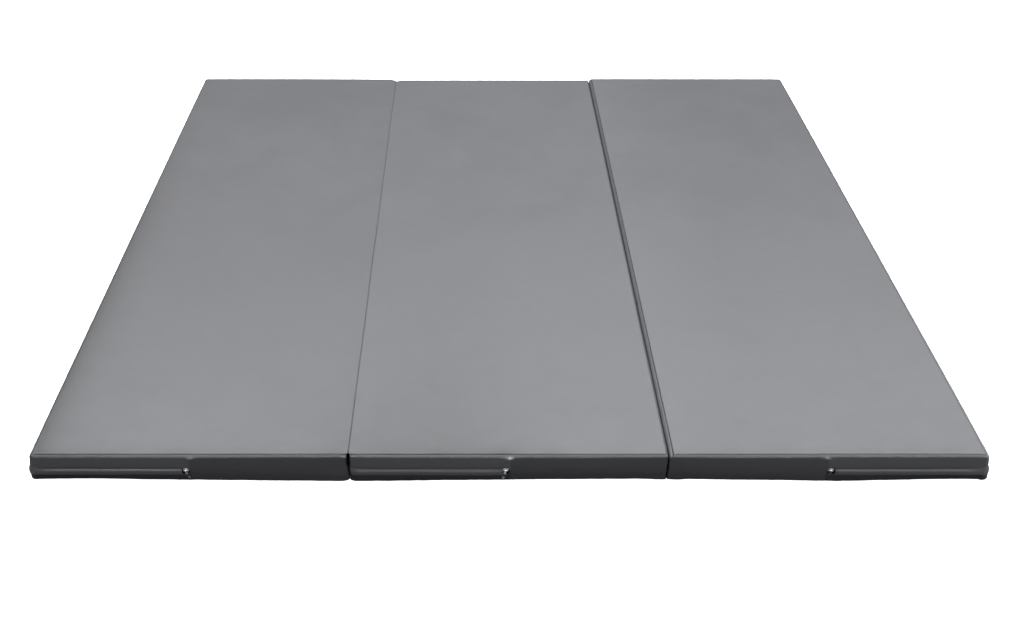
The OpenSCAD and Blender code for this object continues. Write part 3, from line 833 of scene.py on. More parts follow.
def edge_steps(first, limit, growth=1.45):
    out, d, step = [0.0], 0.0, first
    while d < limit:
        d += step
        out.append(d)
        step = min(step * growth, 9.0)
    return out


def line_positions(lo, hi, step, first=0.45):
    near = [e for e in edge_steps(first, 24.0, 1.38)]
    a, b = lo + near[-1], hi - near[-1]
    n = max(2, int(round((b - a) / step)))
    return np.array([lo + e for e in near] + list(np.linspace(a, b, n + 1)[1:-1]) + [hi - e for e in reversed(near)])


def rounded_map(x, y, xl, xr, yf, yb, radii):
    """Moves a rectangle's grid onto the same rectangle with rounded corners; radii are front-left, front-right, back-right, back-left."""
    x, y = x.copy(), y.copy()
    for (cx, cy, sx, sy), r in zip(((xl, yf, -1, -1), (xr, yf, 1, -1), (xr, yb, 1, 1), (xl, yb, -1, 1)), radii):
        ox, oy = cx - sx * r, cy - sy * r
        p, q = (x - ox) * sx, (y - oy) * sy
        m = (p > 0) & (q > 0)
        e = np.hypot(p[m], q[m])
        k = np.maximum(p[m], q[m]) / np.maximum(e, 1e-9)
        x[m], y[m] = ox + sx * p[m] * k, oy + sy * q[m] * k
    return x, y


def crease_shift(y):
    """The crease over the left fold wanders a little along its length."""
    return 0.45 * ripples(71, y, 4, 260, 900)


def sheet_field(panel, xl, xr, yf, yb):
    nx, ny = int((xr - xl) / 9.0), int((yb - yf) / 9.0)
    gx, gy = np.linspace(xl, xr, nx), np.linspace(yf, yb, ny)
    X, Y = np.meshgrid(gx, gy)
    base = np.stack([X, Y, np.zeros_like(X)], -1)
    pins = np.full(X.shape, 0.08)
    d = np.minimum(np.minimum(X - xl, xr - X), np.minimum(Y - yf, yb - Y))
    pins[d < 1e-6] = 1.0
    hinge = np.zeros_like(X)
    if not panel.top_round[0]:
        hinge = np.maximum(hinge, np.exp(-(X - xl) / 40.0))
    if not panel.top_round[1]:
        hinge = np.maximum(hinge, np.exp(-(xr - X) / 40.0))
    uneven = 1 + 0.7 * waves(panel.seed + 3, X, Y, 6, 80, 400)
    loose = 0.0006 + 0.011 * np.exp(-d / 13.0) * np.maximum(uneven, 0.1) * (1 - 0.6 * hinge)
    f = simulate(panel.side + "_sheet_cloth", base, pins, loose, 0.35, 28, panel.seed + 2, 0.5)
    return gx, gy, np.clip(f, -1.2, 1.2)


def sheet_limits(panel, top):
    flags = panel.top_round if top else panel.foot_round
    inset = (SHOULDER + 0.55) if top else (FOOT + 1.0)
    beyond = -1.95 if top else -1.7
    side_in = inset * (FAR_SHOULDER[panel.side] if top else 1.0) + (0.25 if top and panel.side != "left" else 0.0)
    xl = -panel.w / 2 + (inset if flags[0] else beyond)
    xr = panel.w / 2 - (side_in if flags[1] else beyond)
    yf, yb = -panel.l / 2 + inset, panel.l / 2 - inset
    rad = [(2.6 if top else 3.0) if f else 6.0 for f in (flags[0], flags[1])] + [(2.6 if top else 3.0) if f else 4.0 for f in (flags[1], flags[0])]
    return xl, xr, yf, yb, rad, flags


def add_top(panel):
    xl, xr, yf, yb, rad, flags = sheet_limits(panel, True)
    gx, gy = line_positions(xl, xr, 9.0, 0.3), line_positions(yf, yb, 9.0, 0.3)
    X, Y = np.meshgrid(gx, gy)
    dxl, dxr, dyf, dyb = X - xl, xr - X, Y - yf, yb - Y
    d = np.minimum(np.minimum(dxl, dxr), np.minimum(dyf, dyb))
    field = np.zeros(X.shape + (3,))
    if SIMULATE:
        sx, sy, f = sheet_field(panel, xl, xr, yf, yb)
        g = hermite(gy, sy, f)
        field = np.moveaxis(hermite(gx, sx, np.moveaxis(g, 1, 0)), 0, 1)
        panel.sheet_cloth = float(np.abs(field[..., 2]).max())
    MX, MY = rounded_map(X, Y, xl, xr, yf, yb, rad)
    z = panel.h - lowered(panel, MX, MY)
    z = z + 0.75 * field[..., 2] * smooth01(d / 4.0)
    # puckers that run in from the seam
    s_along = np.where(np.minimum(dxl, dxr) < np.minimum(dyf, dyb), Y, X + 3000)
    z = z + 0.16 * ripples(panel.seed + 4, s_along, 9, 22, 90) * np.exp(-d / 7.0) * smooth01(d / 1.5)
    # the sewn-in edge
    hinge = np.zeros_like(X)
    if not flags[0]:
        hinge = np.maximum(hinge, smooth01((3.0 - dxl) / 2.0))
    if not flags[1]:
        hinge = np.maximum(hinge, smooth01((3.0 - dxr) / 2.0))
    outer_side = smooth01((6.0 - dxl) / 3.0) * (1 if flags[0] else 0) * (0.90 if panel.side == "left" else 0.95)
    fold_side = smooth01((5.0 - dxr) / 2.0) * {"left": 0.0, "middle": 0.65, "right": 0.72}[panel.side]
    z = z - (2.9 - (2.15 + 0.35 * smooth01((MY + panel.l / 2) / panel.l)) * hinge) * (1 - outer_side) * (1 - fold_side) * np.exp(-((d / (0.85 - 0.3 * hinge)) ** 1.7)) - 0.15 * (1 - hinge) * np.exp(-d / 3.0)
    shift = np.zeros_like(X)
    if not flags[0]:
        shift = shift + crease_shift(Y) * np.exp(-dxl / 25.0)
    if not flags[1]:
        shift = shift + crease_shift(Y) * np.exp(-dxr / 25.0)
    z = np.minimum(z, panel.h + 0.12)
    g = np.stack([MX + shift + 0.3 * field[..., 0], MY + 0.3 * field[..., 1], z], -1)
    n = np.zeros_like(g)
    n[..., 2] = 1.0
    under = g - n * SKIN
    verts, faces = shell(g[::-1], under[::-1])
    ob = make_object(f"{panel.side}_top_cover", panel.world(verts), faces, M_TOP[panel.side], flip=panel.flip < 0)
    # painted shade beside the front seam, faintly along the side and back edges, in a broad patch at the front left of
    # the middle panel, towards the right panel's outer end, and along the left panel's outer edge, most at its front
    row_x = panel.cx + panel.flip * MX
    painted_shade = 0.44 * np.interp(row_x, [-750, -420, -250, 0, 250, 330, 520, 750], [0.9, 1.0, 0.7, 1.2, 0.7, 1.1, 0.25, 0.2]) * np.exp(-dyf / 6.5) * (1 + 0.35 * ripples(panel.seed + 33, X, 5, 60, 300))
    painted_shade = painted_shade + 0.05 * np.exp(-np.minimum(dxr if panel.side == "right" else np.minimum(dxl, dxr), dyb) / 3.0)
    painted_shade = painted_shade + 0.40 * np.exp(-dyf / 130.0) * np.exp(-((row_x + 125) / 165.0) ** 2)
    if panel.side == "right":
        painted_shade = painted_shade + np.interp(row_x, [260, 430, 750], [0.0, 0.12, 0.17])
    if panel.side == "left":
        painted_shade = painted_shade + 1.0 * np.exp(-dxl / 27.0) * np.interp(MY, [-750, -450, -60, 400, 750], [1.05, 0.85, 0.6, 0.12, 0.1])
    at = ob.data.attributes.new("painted_shade", "FLOAT", "POINT")
    flat = np.clip(painted_shade, 0, 0.8)[::-1].reshape(-1)
    at.data.foreach_set("value", np.concatenate([flat, flat]).astype(np.float32))
    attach(ob, f"{panel.side}_panel")
    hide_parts(f"{panel.side}_top_sheet")
    return ob


def add_base(panel):
    xl, xr, yf, yb, rad, flags = sheet_limits(panel, False)
    gx, gy = line_positions(xl, xr, 14.0), line_positions(yf, yb, 14.0)
    X, Y = np.meshgrid(gx, gy)
    d = np.minimum(np.minimum(X - xl, xr - X), np.minimum(Y - yf, yb - Y))
    MX, MY = rounded_map(X, Y, xl, xr, yf, yb, rad)
    z = 0.12 + 0.10 * waves(panel.seed + 13, MX, MY, 7, 60, 300) * smooth01(d / 10.0)
    z = z + 0.14 * ripples(panel.seed + 14, X + Y, 7, 25, 90) * np.exp(-d / 9.0)
    z = np.maximum(z, 0.0) + 0.85 * np.exp(-((d / 0.9) ** 1.5))
    g = np.stack([MX, MY, z], -1)
    over = g.copy()
    over[..., 2] += SKIN
    verts, faces = shell(g, over)
    ob = make_object(f"{panel.side}_base_cover", panel.world(verts), faces, M_BASE, flip=panel.flip < 0)
    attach(ob, f"{panel.side}_panel")
    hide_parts(f"{panel.side}_bottom_sheet")
    return ob


def add_foam(panel):
    """The foam block, eased at its edges and pressed down where the sheet is drawn to its seams."""
    lo, hi = box_mm(panel.side + "_foam_core")
    hw, hl = (hi[0] - lo[0]) / 2, (hi[1] - lo[1]) / 2
    gx, gy = line_positions(-hw, hw, 22.0), line_positions(-hl, hl, 22.0)
    X, Y = np.meshgrid(gx, gy)
    d = np.minimum(np.minimum(X + hw, hw - X), np.minimum(Y + hl, hl - Y))
    r = 6.0
    ease = np.where(d < r, r - np.sqrt(np.maximum(r * r - (r - np.minimum(d, r)) ** 2, 0)), 0.0)
    MX, MY = rounded_map(X, Y, -hw, hw, -hl, hl, [7.0] * 4)
    top = np.minimum(hi[2], panel.h - lowered(panel, MX, MY) - SKIN - 0.9) - ease
    low = np.full_like(top, lo[2]) + ease
    verts, faces = shell(np.stack([MX, MY, top], -1)[::-1], np.stack([MX, MY, low], -1)[::-1])
    ob = make_object(f"{panel.side}_foam_block", panel.world(verts), faces, M_FOAM, flip=panel.flip < 0)
    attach(ob, f"{panel.side}_panel")
    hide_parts(f"{panel.side}_foam_core")


# ---------------------------------------------------------------- the zip and its flap


def zip_span(panel, x_end, step, corner_n, y_end=None):
    """Columns from the zip's far end, round the front corner, to x_end on the front."""
    y_end = panel.far_y if y_end is None else y_end
    s0 = panel.s_left + panel.l / 2 - CORNER - y_end
    s1 = panel.total - panel.q
    s2 = panel.total
    s3 = panel.total + x_end + panel.w / 2 - CORNER
    return np.concatenate([
        np.linspace(s0, s1, max(2, int((s1 - s0) / step)), endpoint=False),
        np.linspace(s1, s2, corner_n, endpoint=False),
        np.linspace(s2, s3, max(2, int((s3 - s2) / step)) + 1)])


def sweep(panel, cols, rows, out_shift=None):
    """Grid of points: each row is (u, z) or a function of the column positions that gives u and z."""
    p, nrm = panel.outline(cols)
    g = np.zeros((len(rows), len(cols), 3))
    for k, r in enumerate(rows):
        u, z = r(cols) if callable(r) else (np.full(len(cols), r[0]), np.full(len(cols), r[1]))
        if out_shift is not None:
            u = u + out_shift
        g[k, :, :2] = p + u[:, None] * nrm
        g[k, :, 2] = z
    return g


FLAP_OUT = [(0.10, 0.45), (0.42, 0.10), (0.62, -0.8), (0.75, -2.0), (1.00, -3.0), (1.70, -3.8), (2.60, -4.6), (3.35, -5.4), (3.80, -6.2),
            (3.95, -7.0), (3.85, -8.0), (3.55, -9.4), (3.20, -10.9), (2.80, -12.4), (2.50, -13.5), (2.35, -14.0)]
FLAP_SHIFT = {"left": 0.9, "middle": -0.6, "right": 0.1}     # where the ridge runs, a little different on each panel


def add_flap(panel):
    cols = zip_span(panel, panel.flap_x + 1.3, 5.0, 9)
    cols = np.array(sorted(set(np.round(np.concatenate([cols, np.linspace(panel.total + 0.5, panel.total + 14.0, 12)]), 4))))
    end = cols[-1]
    zf = panel.flap_z
    p, nrm = panel.outline(cols)
    from_end = end - cols
    facing = panel.side == "middle"
    on_front = smooth01((cols - (panel.total - panel.q)) / panel.q)
    on_front = smooth01((cols - (panel.total - 10.0)) / 14.0) if facing else smooth01((cols - (panel.total - 6.0)) / 26.0)
    full = 1 - (0.72 if facing else 0.50) * (1 - on_front)
    least = 1.15 if not facing else 1.15 - 0.25 * (1 - on_front)
    full = full * (0.90 + 0.10 * smooth01(from_end / 16.0))
    wav = 0.13 * ripples(panel.seed + 20, cols, 8, 45, 260)
    lift = 0.30 * ripples(panel.seed + 21, cols, 6, 90, 420) + FLAP_SHIFT[panel.side]
    outer, inner = np.zeros((len(FLAP_OUT), len(cols), 3)), np.zeros((len(FLAP_OUT), len(cols), 3))
    prof = np.array(FLAP_OUT)
    t = np.gradient(prof, axis=0)
    nr = np.stack([-t[:, 1], t[:, 0]], -1)
    nr /= np.linalg.norm(nr, axis=1, keepdims=True)
    for k, (u, z) in enumerate(FLAP_OUT):
        share = min(1.0, k / 6.0)
        uu = np.maximum(u * full, least) if k > 3 else np.full(len(cols), u)
        zz = zf + z + lift * share
        uu = uu + wav * share * (0.3 + 0.7 * on_front) + panel.flare(cols, zz)
        iu = uu - 0.85 * nr[k, 0]
        iz = zz - 0.85 * nr[k, 1]
        outer[k, :, :2], outer[k, :, 2] = p + uu[:, None] * nrm, zz
        inner[k, :, :2], inner[k, :, 2] = p + iu[:, None] * nrm, iz
    verts, faces = shell(outer, inner)
    ob = make_object(f"{panel.side}_flap_cover", panel.world(verts), faces, M_FLAP, flip=panel.flip < 0)
    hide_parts(f"{panel.side}_flap_front", f"{panel.side}_flap_side")
    # stitches along the flap's sewn edge
    verts, faces = [], []
    pitch = 4.2
    s = cols[0] + 4
    ring = 6
    sv = []
    while s < end - 3:
        sv.append(s)
        s += pitch
    sv = np.array(sv)
    for a, b in zip(sv, sv + 3.0):
        pa, na = panel.outline(np.array([a, (a + b) / 2, b]))
        idx = len(verts)
        for j, rad in enumerate((0.08, 0.24, 0.08)):
            zc = zf - 1.15
            uc = 0.80 + (0.16 if j == 1 else 0.02)
            tang = np.array([-na[j][1], na[j][0]])
            for k in range(ring):
                th = 2 * math.pi * k / ring
                q = pa[j] + na[j] * (uc + rad * math.cos(th))
                verts.append((q[0], q[1], zc + rad * math.sin(th)))
        for j in range(2):
            for k in range(ring):
                k2 = (k + 1) % ring
                faces.append((idx + j * ring + k, idx + (j + 1) * ring + k, idx + (j + 1) * ring + k2, idx + j * ring + k2))
        faces.append(tuple(idx + k for k in range(ring)))
        faces.append(tuple(idx + 2 * ring + k for k in reversed(range(ring))))
    st = make_object(f"{panel.side}_flap_stitches", panel.world(np.array(verts)), faces, M_THREAD, flip=panel.flip < 0)
    y, z = (panel.cy - panel.l / 2) * MM, zf * MM
    for o in (ob, st):
        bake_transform(o)
    return ob, st


def strip(panel, name, cols, rows, thick, mat, cad):
    """A thin closed strip swept along the zip; rows go down the strip and thick is inwards."""
    o = sweep(panel, cols, rows)
    i = sweep(panel, cols, [(u - thick, z) for u, z in rows])
    verts, faces = shell(o, i)
    ob = make_object(f"{panel.side}_{name}", panel.world(verts), faces, mat, flip=panel.flip < 0)
    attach(ob, f"{panel.side}_panel")
    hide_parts(cad)
    return ob


def add_tapes(panel):
    cols = zip_span(panel, panel.seam_x - 0.3, 12.0, 6, panel.far_y - 0.3)
    for which, sgn in (("upper", 1), ("lower", -1)):
        lo, hi = box_mm(f"{panel.side}_{which}_tape")
        z0, z1 = lo[2], hi[2]
        zs = np.linspace(z1, z0, 6)
        edge = z0 if sgn > 0 else z1
        rows = [(-4.82 + (0.10 if abs(z - edge) < 1e-6 else 0.0), z) for z in zs]
        strip(panel, f"{which}_tape_weave", cols, rows, 0.45, M_TAPE, f"{panel.side}_{which}_tape")


def add_coils(panel):
    lo, hi = box_mm(f"{panel.side}_upper_coil")
    x_end = (hi[0] if panel.flip > 0 else lo[0]) * panel.flip - panel.cx * panel.flip
    y_end = hi[1] - panel.cy
    s0 = panel.s_left + panel.l / 2 - CORNER - y_end
    s1 = panel.total + x_end + panel.w / 2 - CORNER
    pitch, seg, ring, rad = 1.3, 6, 4, 0.26
    n = int((s1 - s0 - 1) / pitch) * seg
    for which, sgn in (("upper", 1), ("lower", -1)):
        lo, hi = box_mm(f"{panel.side}_{which}_coil")
        zc, hz = (lo[2] + hi[2]) / 2, (hi[2] - lo[2]) / 2 - rad
        uc, hu = -3.83, 0.54
        i = np.arange(n + 1)
        th = 2 * math.pi * i / seg * sgn + (0 if sgn > 0 else math.pi / 2)
        s = s0 + 0.5 + (s1 - s0 - 1) * i / n
        p, nrm = panel.outline(s)
        centre_u, centre_z = uc + hu * np.cos(th), zc + hz * np.sin(th)
        c = np.concatenate([p + centre_u[:, None] * nrm, centre_z[:, None]], 1)
        tan = np.gradient(c, axis=0)
        tan /= np.linalg.norm(tan, axis=1, keepdims=True)
        axis = np.concatenate([p + uc * nrm, np.full((n + 1, 1), zc)], 1)
        side_v = c - axis
        side_v -= tan * np.sum(side_v * tan, 1, keepdims=True)
        side_v /= np.maximum(np.linalg.norm(side_v, axis=1, keepdims=True), 1e-9)
        third = np.cross(tan, side_v)
        rings = np.stack([c + rad * (math.cos(a) * side_v + math.sin(a) * third)
                          for a in (2 * math.pi * k / ring for k in range(ring))], 1)
        verts = rings.reshape(-1, 3)
        faces = grid_faces(n + 1, ring, 0, wrap=True)
        faces.append(tuple(range(ring)))
        faces.append(tuple(n * ring + k for k in reversed(range(ring))))
        ob = make_object(f"{panel.side}_{which}_coil_turns", panel.world(verts), faces, M_COIL, flip=panel.flip < 0)
        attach(ob, f"{panel.side}_panel")
        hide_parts(f"{panel.side}_{which}_coil")


def plate(outline_pts, depth0, depth1, hole=None):
    """bmesh plate in the XZ plane from a list of (x, z), between two depths outwards (u), with an optional round hole."""
    bm = bmesh.new()
    outer = [bm.verts.new((x, depth1, z)) for x, z in outline_pts]
    loops = [outer]
    if hole:
        cx, cz, r, n = hole
        loops.append([bm.verts.new((cx + r * math.cos(2 * math.pi * k / n), depth1, cz + r * math.sin(2 * math.pi * k / n))) for k in range(n)])
    edges = []
    for lp in loops:
        for k in range(len(lp)):
            edges.append(bm.edges.new((lp[k], lp[(k + 1) % len(lp)])))
    bmesh.ops.triangle_fill(bm, edges=edges, use_beauty=True)
    ext = bmesh.ops.extrude_face_region(bm, geom=list(bm.faces))
    for v in [e for e in ext["geom"] if isinstance(e, bmesh.types.BMVert)]:
        v.co.y = depth0
    bmesh.ops.recalc_face_normals(bm, faces=bm.faces)
    return bm


def to_panel(panel, x, u, z):
    """Front-wall coordinates (x, outward u, z) in mm to the row frame."""
    return panel.world(np.stack([np.asarray(x, float), -panel.l / 2 - np.asarray(u, float), np.asarray(z, float)], -1))


def metal_piece(panel, name, parts, body, cad, bevel, mat=None):
    """Joins plates, given as bmesh in (x, u, z) mm, into one bevelled object."""
    me = bpy.data.meshes.new(name)
    bm = bmesh.new()
    for part in parts:
        tmp = bpy.data.meshes.new("tmp")
        part.to_mesh(tmp)
        part.free()
        bm.from_mesh(tmp)
        bpy.data.meshes.remove(tmp)
    for v in bm.verts:
        v.co = Vector(to_panel(panel, *v.co))
    bmesh.ops.recalc_face_normals(bm, faces=bm.faces)
    bm.to_mesh(me)
    bm.free()
    me.polygons.foreach_set("use_smooth", [True] * len(me.polygons))
    me.materials.append(mat or M_METAL)
    ob = bpy.data.objects.new(name, me)
    bpy.context.scene.collection.objects.link(ob)
    bev = ob.modifiers.new("bevel", "BEVEL")
    bev.width, bev.segments, bev.limit_method, bev.angle_limit = bevel * MM, 2, "ANGLE", math.radians(40)
    bev.harden_normals = False
    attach(ob, body)
    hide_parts(*cad)
    return ob


def tube_along(points, rad, ring=8):
    """bmesh tube along points in (x, u, z) mm."""
    bm = bmesh.new()
    pts = np.array(points, float)
    tan = np.gradient(pts, axis=0)
    tan /= np.linalg.norm(tan, axis=1, keepdims=True)
    ref = np.array([0.0, 0.0, 1.0]) if abs(tan[0][2]) < 0.9 else np.array([1.0, 0.0, 0.0])
    rings = []
    for p, t in zip(pts, tan):
        a = np.cross(t, ref)
        a /= max(np.linalg.norm(a), 1e-9)
        b = np.cross(t, a)
        rings.append([bm.verts.new(tuple(p + rad * (math.cos(2 * math.pi * k / ring) * a + math.sin(2 * math.pi * k / ring) * b))) for k in range(ring)])
    for r0, r1 in zip(rings, rings[1:]):
        for k in range(ring):
            bm.faces.new((r0[k], r0[(k + 1) % ring], r1[(k + 1) % ring], r1[k]))
    bm.faces.new(rings[0][::-1])
    bm.faces.new(rings[-1])
    bmesh.ops.recalc_face_normals(bm, faces=bm.faces)
    return bm


def rounded_outline(pts, r, n=4):
    """Rounds a polygon's corners with small arcs."""
    out = []
    m = len(pts)
    for k in range(m):
        p0, p1, p2 = (np.array(pts[(k + j) % m], float) for j in (-1, 0, 1))
        a, b = (p0 - p1) / np.linalg.norm(p0 - p1), (p2 - p1) / np.linalg.norm(p2 - p1)
        for j in range(n + 1):
            t = j / n
            e0, e1 = p1 + a * r, p1 + b * r
            out.append(tuple((1 - t) ** 2 * e0 + 2 * t * (1 - t) * p1 + t * t * e1))
    return out


def add_slider(panel):
    x, z = panel.slider_x, panel.zip_z
    # the body: wide at the shoulders (towards the open side, away from the corner), narrower at the tail
    shield = rounded_outline([(x + 4.5, z + 3.0), (x + 4.5, z - 3.0), (x + 1.5, z - 4.0), (x - 4.5, z - 3.2), (x - 4.5, z + 3.2), (x + 1.5, z + 4.0)], 0.9)
    front = plate(shield, -2.7, -1.6)
    back = plate(shield, -6.6, -5.5)
    post = plate(rounded_outline([(x - 1.2, z - 0.3), (x + 1.2, z - 0.3), (x + 1.2, z + 0.3), (x - 1.2, z + 0.3)], 0.15, 2), -5.8, -2.4)
    rims = []
    for s in (-1, 1):
        rims.append(plate([(x - 4.3, z + s * 2.75), (x + 1.5, z + s * 3.35), (x + 4.2, z + s * 2.7), (x + 4.2, z + s * 3.1), (x + 1.5, z + s * 3.95), (x - 4.3, z + s * 3.15)], -4.3, -2.4))
    # the bridge that carries the pull: a bow from tail to shoulder
    bow = [(x - 3.4, -1.9, z), (x - 3.2, -0.9, z), (x - 2.6, -0.3, z), (x - 1.8, -0.2, z), (x, -0.2, z), (x + 1.8, -0.2, z), (x + 2.6, -0.3, z), (x + 3.2, -0.9, z), (x + 3.4, -1.9, z)]
    bridge = tube_along(bow, 0.6, 10)
    lugs = []
    for dx in (-3.0, 3.0):
        lugs.append(plate(rounded_outline([(x + dx - 0.6, z - 0.9), (x + dx + 0.6, z - 0.9), (x + dx + 0.6, z + 0.9), (x + dx - 0.6, z + 0.9)], 0.3, 2), -2.4, -0.1))
    metal_piece(panel, f"{panel.side}_slider_body", [front, back, post, bridge] + rims + lugs, f"{panel.side}_slider", [f"{panel.side}_slider"], 0.22)
    # the pull: a loop round the bridge, a neck and a blade with a hole
    lo, hi = box_mm(f"{panel.side}_pull")
    bottom = lo[2]
    eye = []
    for k in range(9):
        th = math.radians(-60 + 300 * k / 8)
        eye.append((x, -0.2 + 0.98 * math.cos(th), z + 0.98 * math.sin(th)))
    bar = []
    n = 20
    ring = bmesh.new()
    r_in, r_out, half = 0.85, 1.30, 1.45
    loops = []
    for rr, xx in ((r_in, -half), (r_out, -half), (r_out, half), (r_in, half)):
        loops.append([ring.verts.new((x + xx, -0.2 + rr * math.cos(2 * math.pi * k / n), z + rr * math.sin(2 * math.pi * k / n))) for k in range(n)])
    for a, b in zip(loops, loops[1:] + loops[:1]):
        for k in range(n):
            ring.faces.new((a[k], a[(k + 1) % n], b[(k + 1) % n], b[k]))
    neck = plate(rounded_outline([(x - 1.4, z - 0.9), (x - 1.6, z - 3.0), (x + 1.6, z - 3.0), (x + 1.4, z - 0.9)], 0.3, 2), 0.30, 0.90)
    blade = plate(rounded_outline([(x - 1.5, z - 2.3), (x - 1.9, z - 5.0), (x - 1.9, bottom + 2.0), (x - 1.2, bottom + 0.25), (x + 1.2, bottom + 0.25), (x + 1.9, bottom + 2.0), (x + 1.9, z - 5.0), (x + 1.5, z - 2.3)], 0.7), 0.25, 0.95,
                  hole=(x, bottom + 2.7, 1.0, 16))
    grip = [plate(rounded_outline([(x - 1.2, zz - 0.25), (x + 1.2, zz - 0.25), (x + 1.2, zz + 0.25), (x - 1.2, zz + 0.25)], 0.2, 2), 0.8, 1.08) for zz in (z - 6.2, z - 7.6, z - 9.0)]
    slant = {"left": math.radians(21), "middle": math.radians(-15), "right": math.radians(15)}[panel.side]
    c, sn = math.cos(slant), math.sin(slant)
    for part in [neck, blade] + grip:
        for v in part.verts:
            dx, dz = v.co.x - x, v.co.z - z
            v.co.x, v.co.z = x + c * dx - sn * dz, z + sn * dx + c * dz
    metal_piece(panel, f"{panel.side}_pull_tab", [ring, neck, blade] + grip, f"{panel.side}_pull", [f"{panel.side}_pull"], 0.14, mat=M_PULL[panel.side])
    tab = bpy.data.objects[f"{panel.side}_pull_tab"].data       # the loop keeps the slider's plating
    tab.materials.append(M_METAL)
    for k in range(4 * n):
        tab.polygons[k].material_index = 1


# ---------------------------------------------------------------- hinge webs


def add_web(name, cad, x_c, z_top, sign):
    """The strip in the slit between two sheets, with a margin sewn under each. sign is 1 for a web at the top, -1 at the underside."""
    (lo, hi) = box_mm(cad)
    y0, y1 = lo[1], hi[1]
    ys = np.linspace(y0, y1, 180)
    shift = crease_shift(ys) if sign > 0 else np.zeros_like(ys)
    prof = [(-8.0, -1.72), (-4.0, -1.72), (-1.9, -1.70), (-1.2, -1.68), (-0.75, -1.62), (-0.35, -1.55), (0.0, -1.52), (0.35, -1.55), (0.75, -1.62), (1.2, -1.68), (1.9, -1.70), (4.0, -1.72), (8.0, -1.72)]
    thick = 0.35
    mid = panels["middle"]
    follow = np.maximum(lowered(mid, np.full(len(ys), -mid.w / 2), ys) - 0.45, 0.0) if sign > 0 else np.zeros_like(ys)
    outer, inner = np.zeros((len(prof), len(ys), 3)), np.zeros((len(prof), len(ys), 3))
    for k, (x, z) in enumerate(prof):
        near = math.exp(-abs(x) / 4.0)
        outer[k, :, 0] = x_c + x + shift * near
        outer[k, :, 1] = ys
        outer[k, :, 2] = z_top - follow + sign * (z + 0.12 * near * ripples(91 + k // 20, ys, 6, 30, 160))
        inner[k] = outer[k]
        inner[k, :, 2] -= sign * thick
    verts, faces = shell(outer, inner)
    ob = make_object(name, verts * MM, faces, M_WEB, flip=sign < 0)
    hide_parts(cad)
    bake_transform(ob)
    return ob


# ---------------------------------------------------------------- build it all

panels = {s: Panel(s) for s in SIDES}
for side in SIDES:
    pan = panels[side]
    add_wall(pan)
    add_top(pan)
    add_base(pan)
    add_foam(pan)
    add_flap(pan)
    add_tapes(pan)
    add_coils(pan)
    add_slider(pan)

x_left = (panels["left"].cx + panels["middle"].cx) / 2
x_right = (panels["right"].cx + panels["middle"].cx) / 2
add_web("left_hinge_strip", "left_hinge_web", x_left, panels["middle"].h, 1)
add_web("right_hinge_strip", "right_hinge_web", x_right, 0.0, -1)

# the pieces kept from the CAD: the zips' stops
for side in SIDES:
    for name, mat, slot, width in (("upper_top_stop", M_METAL, "zip_metal", 0.15),
                                   ("lower_top_stop", M_METAL, "zip_metal", 0.15), ("bottom_stop", M_METAL, "zip_metal", 0.2)):
        ob = frame["nodes"][f"{side}_{name}"]
        ob.data.materials.clear()
        ob.data.materials.append(mat)
        bev = ob.modifiers.new("bevel", "BEVEL")
        bev.width, bev.segments, bev.limit_method, bev.angle_limit = width * MM, 2, "ANGLE", math.radians(50)

# ---------------------------------------------------------------- stage

floor_mat, nt, bsdf = material("floor_white")
path = nt.nodes.new("ShaderNodeLightPath")
fl_noise = node(nt, "ShaderNodeTexNoise", Scale=1.5, Detail=2.0)
fl_mix = nt.nodes.new("ShaderNodeMix")
fl_mix.data_type = "RGBA"
fl_mix.inputs["A"].default_value = (0.20, 0.20, 0.205, 1)     # what the mat sees of the floor
nt.links.new(ramp(nt, fl_noise.outputs["Fac"], [(0.3, 0.90), (0.7, 0.93)]), fl_mix.inputs["B"])
nt.links.new(path.outputs["Is Camera Ray"], fl_mix.inputs["Factor"])
nt.links.new(fl_mix.outputs["Result"], bsdf.inputs["Base Color"])
fl_glow = nt.nodes.new("ShaderNodeMath")
fl_glow.operation = "MULTIPLY"
fl_glow.inputs[1].default_value = 0.84
nt.links.new(path.outputs["Is Camera Ray"], fl_glow.inputs[0])
bsdf.inputs["Emission Color"].default_value = (1, 1, 1, 1)
nt.links.new(fl_glow.outputs[0], bsdf.inputs["Emission Strength"])
bsdf.inputs["Roughness"].default_value = 0.9
bsdf.inputs["Specular IOR Level"].default_value = 0.1
bpy.ops.mesh.primitive_plane_add(size=60, location=(0, 0, 0))
floor = bpy.context.object
floor.name = "floor"
floor.data.materials.append(floor_mat)

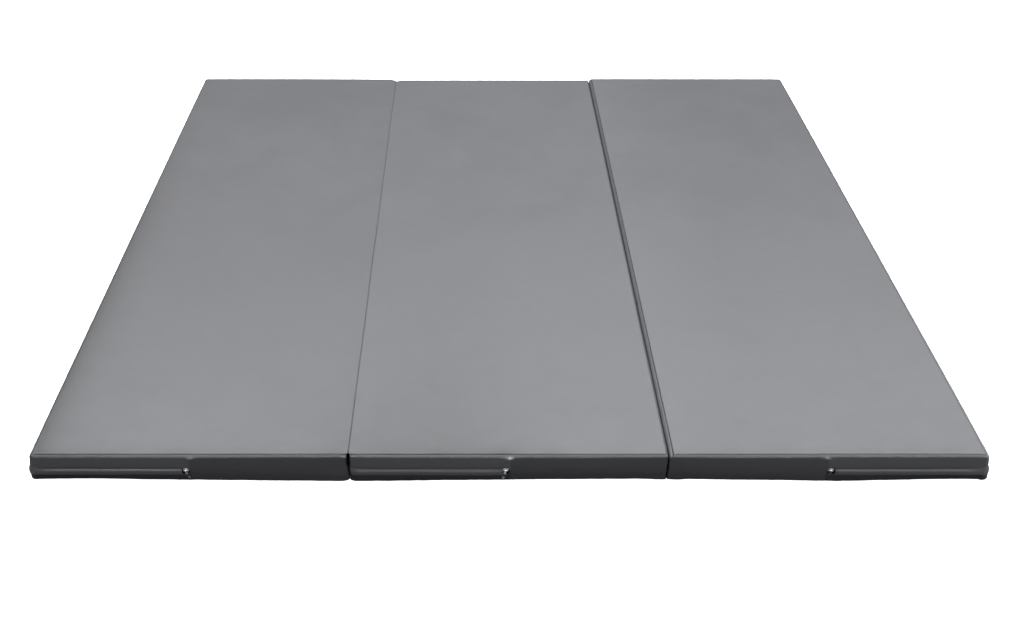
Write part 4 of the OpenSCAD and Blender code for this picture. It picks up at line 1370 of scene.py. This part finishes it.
# The floor stays under the lowest panel when one is folded under another.
corners = []
for side in SIDES:
    p = panels[side]
    for k, (dx, dz) in enumerate(((-1, 0), (1, 0), (-1, 1), (1, 1))):
        e = bpy.data.objects.new(f"{side}_edge_{k}", None)
        bpy.context.scene.collection.objects.link(e)
        e.parent = frame["bodies"][f"{side}_panel"]
        e.location = ((p.cx + dx * p.w / 2) * MM, 0, dz * p.h * MM)
        e.empty_display_size = 0.01
        corners.append(e)
drv = floor.driver_add("location", 2).driver
drv.type = "MIN"
for k, e in enumerate(corners):
    v = drv.variables.new()
    v.name = f"c{k}"
    v.type = "TRANSFORMS"
    v.targets[0].id = e
    v.targets[0].transform_type = "LOC_Z"
    v.targets[0].transform_space = "WORLD_SPACE"

world = bpy.data.worlds.new("studio")
bpy.context.scene.world = world
world.use_nodes = True
bg = world.node_tree.nodes["Background"]
bg.inputs["Color"].default_value = (1, 1, 1, 1)
bg.inputs["Strength"].default_value = 0.45


def area(name, loc, target, size, size_y, energy, color=(1, 1, 1)):
    data = bpy.data.lights.new(name, "AREA")
    data.shape, data.size, data.size_y = "RECTANGLE", size, size_y
    data.energy, data.color = energy, color
    ob = bpy.data.objects.new(name, data)
    bpy.context.scene.collection.objects.link(ob)
    ob.location = loc
    ob.rotation_euler = (Vector(target) - Vector(loc)).to_track_quat("-Z", "Y").to_euler()
    return ob


COOL = (0.972, 0.988, 1.02)
area("softbox_top", (0.6, 1.05, 2.6), (0.6, 0.45, 0), 6.5, 2.8, 315, COOL)
area("softbox_right", (3.2, -1.2, 1.9), (0, 0, 0), 1.6, 1.6, 48, COOL)
area("strip_front", (0.2, -2.3, 2.4), (0.2, -0.75, 0.03), 4.2, 0.6, 62, COOL)

cam_data = bpy.data.cameras.new("camera")
cam = bpy.data.objects.new("camera", cam_data)
bpy.context.scene.collection.objects.link(cam)
cam_data.sensor_width = 36.0
cam_data.lens = 41.97
cam_data.shift_x = 0.0425
cam.location = (-0.0627, -2.1699, 1.2636)
cam.rotation_euler = (math.radians(56.5), 0, 0)
bpy.context.scene.camera = cam

vs = bpy.context.scene.view_settings
vs.view_transform = "Standard"
vs.look = "None"
vs.exposure = 0.0
vs.gamma = 1.0

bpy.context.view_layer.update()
for side in SIDES:
    p = panels[side]
    print("cloth", side, getattr(p, "wall_cloth", None), getattr(p, "sheet_cloth", None))
